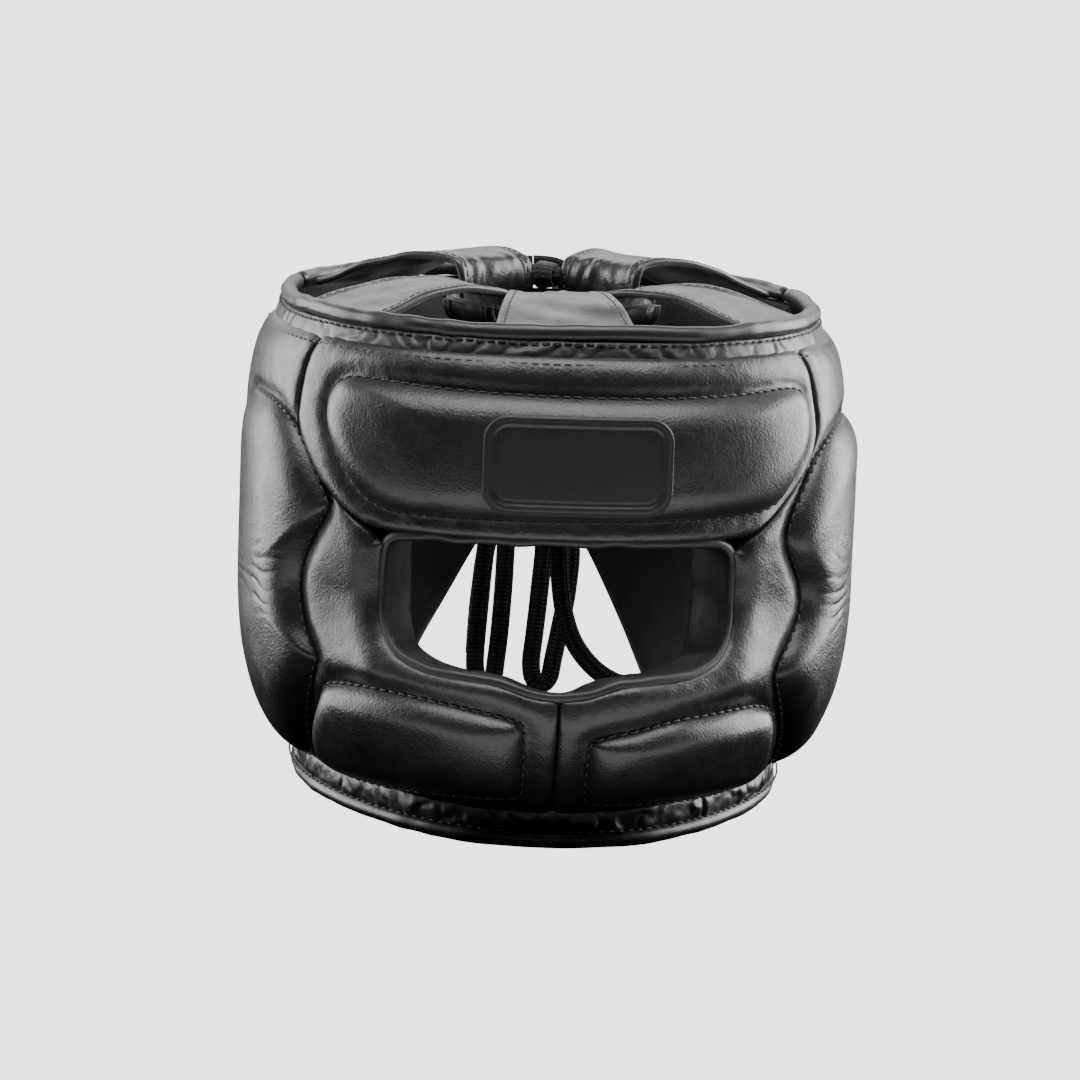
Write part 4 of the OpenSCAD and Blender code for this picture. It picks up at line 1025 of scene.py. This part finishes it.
def rim_stitches(name, t_lo, t_hi, z, inward, body="shell", pitch=3.9):
    """A row of stitches along a rim."""
    t = np.linspace(t_lo, t_hi, 500)
    line = shell_point(t, z, inward)
    row = stitch_skins(line, shell_normal(t, z), pitch, 2.9, 0.75)
    return add_piece(name, [row], thread, body)


rim_stitches("crown_stitches", -104, 104, 181.6, 3.1)
rim_stitches("crown_panel_stitches", -92, 92, 174.6, 1.75)
rim_stitches("foot_stitches", -92, 92, 6.9, -4.6)

# %% [markdown]
# ## Crown tabs
# Five leather tabs reach from the rim to a lace ring over the head. Each is a sheet with hemmed and
# stitched sides, whose tip is rolled under into a tunnel for the lace. The middle line is worked out
# first, as a rise with an arch and then a curl, and the sheet is spread across it.

# %% Crown tabs
CROWN_Y, RING_R, TUNNEL_R, TAB_THICK = RING_Y - 8, 34.0, 3.4, 3.0
TAB_ROOT_D, TAB_ROOT_Z, TAB_TIP_Z = 9.45, 183.1, 188.0


def rim_point(t):
    """Where on the rim, seen from above, a tab at angle t is sewn."""
    return shell_point(t, RIM_Z, TAB_ROOT_D)[..., :2]


def tab_bearing(t):
    """The direction of a tab's middle line from the crown's centre."""
    x, y = rim_point(t)
    return math.atan2(y - CROWN_Y, x)


def ring_point(bearing, off):
    """A point on the lace ring, off mm to one side of a tab's middle line."""
    off = np.asarray(off, float)
    return np.stack([RING_R * math.cos(bearing) - off * math.sin(bearing),
                     CROWN_Y + RING_R * math.sin(bearing) + off * math.cos(bearing)], -1)


def crown_tab(name, t, half_t, tip_w, arch, tip_rise, seed):
    """Top and underside 3 mm apart over the middle line; the sides are hemmed and the curl is creased."""
    bearing = tab_bearing(t)
    outward = np.array([math.cos(bearing), math.sin(bearing)])
    span = np.linalg.norm(rim_point(t) - ring_point(bearing, 0))
    curl = TUNNEL_R + TAB_THICK / 2
    k = np.linspace(0, 1, 9)
    peak = TAB_TIP_Z + tip_rise
    height = TAB_ROOT_Z + (peak - TAB_ROOT_Z) * smooth(k) + arch * np.sin(np.pi * k ** 0.9)
    rise = np.stack([k, 0 * k, height], 1)
    a = np.radians(90 + 35 * np.arange(1, 9))
    tall = curl + tip_rise / 2
    hook = np.stack([0 * a + 1, curl * np.cos(a), peak - tall + tall * np.sin(a)], 1)
    line = np.vstack([rise, hook]) * [span, 1, 1]
    line = spline(line, 90) / [span, 1, 1]
    run = np.stack([(1 - line[:, 0]) * span + line[:, 1], line[:, 2]], 1)
    step = np.gradient(run, axis=0)
    step /= np.linalg.norm(step, axis=1, keepdims=True)
    lift = np.stack([step[:, 1], -step[:, 0]], 1)
    v = np.linspace(0, 1, 56)
    root = rim_point(t + (2 * v - 1) * half_t)
    tip = ring_point(bearing, (v - 0.5) * tip_w)
    flat = root + line[:, :1, None] * (tip - root)
    width = np.linalg.norm(flat[:, -1] - flat[:, 0], axis=1)[:, None]
    side = np.minimum(v, 1 - v) * width
    along = np.linspace(0, 1, 90)[:, None]
    bent = smooth((along - 0.52) / 0.25) * smooth(side / 7)
    place = np.stack([flat[..., 0], flat[..., 1], 0 * side + line[:, 2:]], -1)
    fold = np.sin(v * width * 0.62 + 3.0 * waves(place, 26, seed))
    crease = bent * 0.42 * fold * (0.4 + 0.6 * waves(place, 16, seed + 1))
    hem = 0.45 * (1 - smooth((side - 4.6) / 0.9)) - 0.3 * np.exp(-((side - 3.4) / 0.6) ** 2)
    rim = roll_off(side, 1.1, 1.4)
    sag = (-1.1 * np.sin(np.pi * v) ** 2 * np.sin(np.pi * np.clip(along / 0.7, 0, 1))
           + 0.35 * waves(place, 24, seed + 2))
    faces = []
    for sign, extra in ((1, hem + rim + crease), (-1, -0.2 * hem + rim + 0.5 * crease)):
        off = sign * (TAB_THICK / 2 - 0.15) + sign * extra + sag * smooth((0.9 - along) * 5)
        xy = flat + outward * (line[:, 1:2, None] + (off * lift[:, :1])[..., None])
        faces.append(np.concatenate([xy, (line[:, 2:] + off * lift[:, 1:])[..., None]], -1))
    skin = slab_skin(faces[0], faces[1], 2)
    piece = add_piece(name + "_hide", [skin], [cowhide, suede], replaces=[name],
                      sharp=60)
    index = np.ones(len(piece.data.polygons), np.int32)
    index[:89 * 55] = 0
    piece.data.polygons.foreach_set("material_index", index)
    rows = []
    normal = np.cross(np.gradient(faces[0], axis=0), np.gradient(faces[0], axis=1))
    normal /= np.linalg.norm(normal, axis=-1, keepdims=True)
    normal *= np.sign(normal[20, 28, 2])
    for edge in (0, 1):
        share = np.clip(3.4 / width[:, 0], 0, 0.5)
        column = (share if edge == 0 else 1 - share) * 55
        low = np.clip(column.astype(int), 0, 54)
        k = (column - low)[:, None]
        i = np.arange(90)
        spot = faces[0][i, low] * (1 - k) + faces[0][i, low + 1] * k
        rows.append(stitch_skins(spot[2:80], normal[i, low][2:80], 3.6, 2.8, 0.75, 0.0))
    add_piece(name + "_stitches", rows, thread)


TABS = {"front_crown_tab": (0, 13, 34, 4, 2), "left_side_crown_tab": (58, 16, 30, 5, 2),
        "right_side_crown_tab": (-58, 16, 30, 5, 2), "left_rear_crown_tab": (131, 21, 40, 5, 9),
        "right_rear_crown_tab": (-131, 21, 40, 5, 9)}
for number, (name, values) in enumerate(TABS.items()):
    crown_tab(name, *values, 100 + 5 * number)

# %% Crown lace and its knot
LACE_RING_D = 2 * TUNNEL_R - 1.6
lace_z = TAB_TIP_Z - TUNNEL_R - TAB_THICK / 2
knots = np.vstack([ring_point(tab_bearing(t), np.array([-1, 0, 1]) * (w / 2 + 1))
                   for t, w in ((0, 32), (58, 27), (131, 36), (-131, 36), (-58, 27))])
ring = even(np.column_stack([knots, np.full(len(knots), lace_z)]), 200, True)
ring = (ring + np.roll(ring, 1, 0) + np.roll(ring, -1, 0) + np.roll(ring, 2, 0) + np.roll(ring, -2, 0)) / 5
section = oval(LACE_RING_D, LACE_RING_D * 0.8, 12, 0.8)
rings = sweep(ring, np.array([0.0, 0, 1]), section, True)
uv = np.stack(np.broadcast_arrays(np.linspace(0, 12, 12)[None], np.linspace(0, 260, 200)[:, None]), -1)
add_piece("crown_lace_cotton", [tube_skin(rings, True)], cotton,
          replaces=["crown_lace"], uv=uv.reshape(-1, 2))

knot_at = np.array([0, ring_point(tab_bearing(131), 19)[1], lace_z + (LACE_RING_D + 9) / 2 + 0.2])
turns = np.linspace(0, 2.1 * 2 * np.pi, 80)
spin = np.stack([0 * turns, np.cos(turns), np.sin(turns)], 1)
first = knot_at + np.stack([-5.6 + 10.6 * turns / turns[-1], 0 * turns, 0 * turns], 1) + spin * [0, 3.6, 3.5]
first_skin, first_uv = lace_strip(first, 6.4, 1.5, spin)
turns = np.linspace(0, 2 * np.pi, 64, endpoint=False)
tilt = np.stack([2.2 * np.cos(turns) + 0.6, 5.6 * np.cos(turns), 4.4 * np.sin(turns)], 1)
tilt_up = tilt / np.linalg.norm(tilt, axis=1, keepdims=True)
second_skin, second_uv = lace_strip(knot_at + tilt, 7.2, 1.5, tilt_up, True)
core = sweep(knot_at + np.linspace(-5.6, 5.6, 8)[:, None] * [1, 0, 0], np.array([0.0, 0, 1]), oval(6, 6, 14))
add_piece("crown_knot_cotton", [first_skin, second_skin, tube_skin(core)], cotton,
          replaces=["crown_knot"], uv=np.vstack([first_uv, second_uv, np.zeros((8 * 14 + 2, 2))]))

# %% [markdown]
# ## Linings
# Inside, the foam is covered by brushed suede that grips the hair. It is one thin skin behind each
# panel, on the same grid as the panel but coarser, and a little uneven where the foam shows through.

# %% Linings of the front
def lining_piece(name, t, z, seed, replaces, body="shell"):
    """A skin 1.6 mm thick on the lining's plan, with half a millimetre of slow unevenness."""
    base = lining_point(t, z, 0)
    soft = 0.35 * waves(base, 28, seed) + 0.08 * waves(base, 6, seed + 1)
    rim = distance(base, np.vstack([base[:, 0], base[-1], base[::-1, -1], base[0, ::-1]]), True)
    flared = eye_flare(t, z, 1.0)
    face = lining_point(*flared, -soft * smooth(rim / 5) + roll_off(rim, 0.9, 2.5) * -1)
    return add_piece(name, [slab_skin(face, lining_point(*flared, 1.9))], suede, body,
                     replaces, sharp=70)


v, u = np.meshgrid(np.linspace(0, 1, 44), np.linspace(-1, 1, 110))
z = EYE_TOP + 2.2 + (SHELL_TOP - EYE_TOP - 1.2) * v
lining_piece("forehead_suede", u * seam_at(z), z, 111, ["forehead_lining"])
for side, hand in ((1, "left"), (-1, "right")):
    t, z, _ = face_grid(side)
    pick = np.ix_(np.r_[0:110:3], np.r_[0:340:3])
    lining_piece(f"{hand}_face_suede", t[pick], z[pick], 113 + side,
                 [f"{hand}_side_lining"] + (["bar_lining"] if side > 0 else []))

# %% [markdown]
# ## Ears, rear flaps and their lacing
# Above and below each ear port a soft bridge of leather joins the shell to the rear flap, and it is the
# hinge: the leather bends there when the lace is let out. The flaps are padded panels like the front,
# with a sewn line inside their edge, a welt at rim and foot, and loops that guide the lace.

# %% Ear bridges
for side, hand in ((1, "left"), (-1, "right")):
    skins = []
    for low, high, seed in ((SHELL_LOW, 76.0, 121), (118.0, SHELL_TOP, 124)):
        across = side * np.linspace(SIDE_END_T - 0.8, HINGE_T - 0.4, 40)
        t, z = np.meshgrid(across, np.linspace(low, high, 90), indexing="ij")
        base = shell_point(t, z, 0)
        k = np.linspace(0, 1, 40)[:, None]
        fold = 0.9 * np.sin(np.pi * k) * np.sin(z / 1.35 + 2.2 * waves(base, 20, seed))
        fold *= 0.4 + 0.6 * smooth(0.5 + waves(base, 18, seed + 1))
        sink = 3.2 + 2.0 * np.sin(np.pi * k) - fold * 0.8
        rim = roll_off(np.minimum(z - low, high - z), 1.2, 2.0)
        skins.append(slab_skin(shell_point(t, z, sink - rim), shell_point(t, z, sink + 3.2 + rim), 2))
    add_piece(f"{hand}_ear_bridge_hide", skins, nappa,
              replaces=[f"{hand}_ear_bridge"], sharp=75)

# %% Rear flaps
FLAP_LOW, FLAP_TOP, NECK_Z = 6.9, 181.2, 100.0
# The neck's curve on each flap as distance from the middle and height, and the straight edge above it
NECK_CURVES = {1: [(53, 30), (44.5, 48), (32.5, 68), (20, 84), (11, 95)],
               -1: [(51, 30), (40, 48), (27, 68), (15.5, 84), (9.6, 95)]}
FLAP_EDGES = {side: spline([(60.5, FLAP_LOW), *curve, (8, 104), (8, 130), (8, 160), (8, RIM_Z)], 300)
              for side, curve in NECK_CURVES.items()}


def flap_edge_t(z, side):
    """Where the flap ends behind the head: the angle at which the leather is this far from the middle."""
    x = np.interp(z, FLAP_EDGES[side][:, 1], FLAP_EDGES[side][:, 0])
    return 180 - angle_at(x, z)


for side, hand in ((1, "left"), (-1, "right")):
    body = f"{hand}_flap"
    v, u = np.meshgrid(np.linspace(0, 1, 150), np.linspace(0, 1, 130))
    z = FLAP_LOW + (FLAP_TOP - FLAP_LOW) * v
    t = side * (FLAP_START_T + u * (flap_edge_t(z, side) - FLAP_START_T))
    k = np.linspace(0, 1, 90)
    inner_z = FLAP_LOW + 12 + (FLAP_TOP - FLAP_LOW - 26) * k
    start_line = np.stack([side * (FLAP_START_T + 7 + 0 * k), inner_z], 1)
    end_line = np.stack([side * (flap_edge_t(inner_z, side) - 7.5), inner_z], 1)
    corner = np.vstack([start_line, end_line[::-1]])
    loops[f"{body}_quilting"], _ = on_shell(spline(corner[::6], 600, True), 380, True)
    ring = loops[f"{body}_quilting"]
    base = shell_point(t, z, 0)
    border = [base[:, 0], base[:, -1], base[0], base[-1]]
    height = 0.4 * waves(base, 40, 131) + 0.05 * waves(base, 8, 132)
    for line, depth, width in zip(border, (3.5, 3.0, 3.2, 3.0), (9, 9, 9, 8)):
        height += roll_off(distance(base, line), depth, width)
    d = distance(base, shell_point(ring[:, 0], ring[:, 1], 0), True)
    inside = is_inside(t, z, ring[::3])
    height += groove(d, 1.8, 3.6) + np.where(inside, 4.2 * (1 - (1 - np.clip(d / 15, 0, 1)) ** 2.2) ** 0.7, 0)
    height *= np.where(height > 0, 0.35 + 0.65 * smooth((126 - np.abs(t)) / 12 + 0.5), 1)
    outer, inner = shell_point(t, z, -height), lining_point(t, z, 2.0)
    add_piece(f"{body}_panel", [slab_skin(outer, inner, 3)], cowhide, body,
              [f"{hand}_flap_cover", f"{hand}_flap_foam"], sharp=60)
    row = stitch_skins(shell_point(ring[:, 0], ring[:, 1], 1.2), shell_normal(ring[:, 0], ring[:, 1]),
                       closed=True)
    add_piece(f"{body}_stitches", [row], thread, body)
    lining_piece(f"{body}_suede", t[::4, ::4], z[::4, ::4], 141, [f"{hand}_flap_lining"], body)
    foot_end = float(flap_edge_t(np.array([FLAP_LOW]), side)[0]) - 2
    rim_end = float(flap_edge_t(np.array([RIM_Z]), side)[0]) - 3
    paths = [welt_path(side * (FLAP_START_T + 2), side * foot_end, FOOT_WELT_Z, 5.2, 60, 0.0, 151),
             welt_path(side * FLAP_START_T, side * rim_end, RIM_WELT_Z, 5.2, 150, 0.4, 152)]
    welt(f"{body}_welt", paths, [f"{hand}_flap_piping"], body)
    rim_stitches(f"{body}_rim_stitches", side * (FLAP_START_T + 1), side * rim_end, 178.6, 1.9, body)

# %% Lace loops and the lacing
LOOPS, LOOP_PITCH, LOOP_X, LOOP_H = 4, 22.0, 16.0, 12.0
HALF_PITCH, KNOT_FOOT = LOOP_PITCH / 2, 2.0


def rear_face(z):
    """The y of the flaps' outer face behind the head."""
    return RING_Y + REAR_REACH - tuck(z)


for side, hand in ((1, "left"), (-1, "right")):
    body, skins, strips, uvs = f"{hand}_flap", [], [], []
    for i in range(LOOPS):
        z0 = NECK_Z + 9 + i * LOOP_PITCH
        y0 = rear_face(z0 - LOOP_H / 2)
        a = np.radians(np.linspace(0, 180, 26))
        arch = np.stack([LOOP_X * side + 7.2 * signed_power(np.cos(a), 0.7),
                         y0 - 0.4 + 4.9 * signed_power(np.sin(a), 0.6)], 1)
        centre = np.column_stack([arch, np.full(26, z0)])
        out = np.stack([np.cos(a), np.sin(a), 0 * a], 1)
        skins.append(tube_skin(sweep(centre, out, oval(LOOP_H, 1.5, 16, 0.4))))
        y = y0 + 3.1
        # The left half crosses over the right one, and the lowest run starts in the knot
        lift = side * (LACE_THICK / 2 + 0.25)
        if i == 0:
            foot, climb, slack = np.array([KNOT_FOOT, y, KNOT_Z + 2.5]), 0.2 * (z0 - KNOT_Z - 2.5), 5
        else:
            foot, climb, slack = np.array([0.15, y - lift, z0 - HALF_PITCH]), 0.4, 2.6
        path = np.array([
            foot, [foot[0] * 0.55 + LOOP_X * 0.45, y + (foot[1] - y) * 0.4, foot[2] + climb],
            [LOOP_X - 2.5, y, z0 - LOOP_H / 2 - slack], [LOOP_X, y, z0 - LOOP_H / 2 + 1],
            [LOOP_X, y, z0 + LOOP_H / 2 - 1], [LOOP_X - 2.5, y, z0 + LOOP_H / 2 + 2.6],
            [LOOP_X * 0.5, y + lift * 0.6, z0 + HALF_PITCH - 0.4], [0.15, y + lift, z0 + HALF_PITCH]])
        path = spline(path * [side, 1, 1], 50)
        skin, uv = lace_strip(path, LACE_W * 0.8, LACE_THICK)
        strips.append(skin)
        uvs.append(uv)
    add_piece(f"{hand}_lace_loops_hide", skins, cowhide, body, [f"{hand}_lace_loops"],
              sharp=70)
    lace = add_piece(f"{hand}_rear_lace_cotton", strips, cotton, None,
                     [f"{hand}_rear_lace"], uv=np.vstack(uvs))
    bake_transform(lace)

# %% [markdown]
# ## Chin strap
# A strap from each side meets under the chin and is held by hook and loop tape, so each half is a flat
# leather band with a shallow sag, stitched along both edges. The bands are sections carried along the
# sag, and the tapes lie between them.

# %% Chin strap, tapes and anchors
STRAP_W, STRAP_THICK, STRAP_LOW, ANCHOR_X, ANCHOR_Z = 25.0, 2.2, 12.0, 63.0, 32.0
STRAP_Y, SHORT_END, LONG_END, TAPE_THICK = RING_Y - 26, -4.0, -36.0, 1.0
SHORT_DROP = STRAP_THICK + 2 * TAPE_THICK + 0.6


def strap_z(x):
    """Middle height of the long strap: its low point plus a square of the distance from the middle."""
    return STRAP_LOW + STRAP_THICK / 2 + SHORT_DROP + (ANCHOR_Z - STRAP_LOW) * (x / ANCHOR_X) ** 2


def band(x_a, x_b, drop, w, thick, count=60):
    """A flat band with rounded edges between two x places, drop mm under the long strap's line."""
    x = np.linspace(x_a, x_b, count)
    path = np.stack([x, np.full(count, STRAP_Y), strap_z(x) - drop], 1)
    return path, tube_skin(sweep(path, np.array([0.0, 0, 1]), oval(w, thick, 24, 0.35)))


for name, body, ends, drop in (("chin_strap", "chin_strap", (LONG_END, ANCHOR_X - 1), 0),
                               ("short_strap", "short_strap", (-ANCHOR_X + 1, SHORT_END), SHORT_DROP)):
    path, skin = band(*ends, drop, STRAP_W, STRAP_THICK)
    add_piece(name + "_hide", [skin], cowhide, body, [name], sharp=60)
    rows = [stitch_skins(path + [0, off, sign * STRAP_THICK / 2], np.array([0.0, 0, sign]),
                         3.6, 2.8, 0.7, 0.05)
            for off in (-9.8, 9.8) for sign in (1, -1)]
    add_piece(name + "_stitches", rows, thread, body)
HOOK_DROP = (STRAP_THICK + TAPE_THICK) / 2 + 0.1
LOOP_DROP = STRAP_THICK / 2 + 1.5 * TAPE_THICK + 0.4
for name, body, ends, drop in (("hook_tape", "chin_strap", (LONG_END + 2, SHORT_END - 3), HOOK_DROP),
                               ("loop_tape", "short_strap", (LONG_END, SHORT_END - 2), LOOP_DROP)):
    tape = band(*ends, drop, 0.8 * STRAP_W, TAPE_THICK, 20)[1]
    add_piece(name + "_knit", [tape], nylon, body, [name])

ANCHOR_HALF_W, ANCHOR_HALF_H = 12.2, 2.7
skins = []
for side in (-1, 1):
    mid = float(strap_z(ANCHOR_X)) - (SHORT_DROP if side < 0 else 0)
    y, z = np.meshgrid(STRAP_Y + np.linspace(-ANCHOR_HALF_W, ANCHOR_HALF_W, 24),
                       mid + np.linspace(-ANCHOR_HALF_H, ANCHOR_HALF_H, 12), indexing="ij")
    cut = 0.35 * tuck(z) + WALL_FRONT
    wide, deep = SHELL_W / 2 - cut, FOREHEAD_REACH - cut
    x_out = wide * (1 - (np.abs(y - RING_Y) / deep) ** PLAN_POWER) ** (1 / PLAN_POWER) - 0.3
    rim = np.minimum(np.minimum(y - y.min(), y.max() - y), np.minimum(z - z.min(), z.max() - z))
    x_in = ANCHOR_X + 0.4 - roll_off(rim, 0.8, 1.2)
    skins.append(slab_skin(np.stack([side * x_in, y, z], -1), np.stack([side * x_out, y, z], -1), 2))
add_piece("strap_anchor_hide", skins, cowhide, replaces=["strap_anchor"])
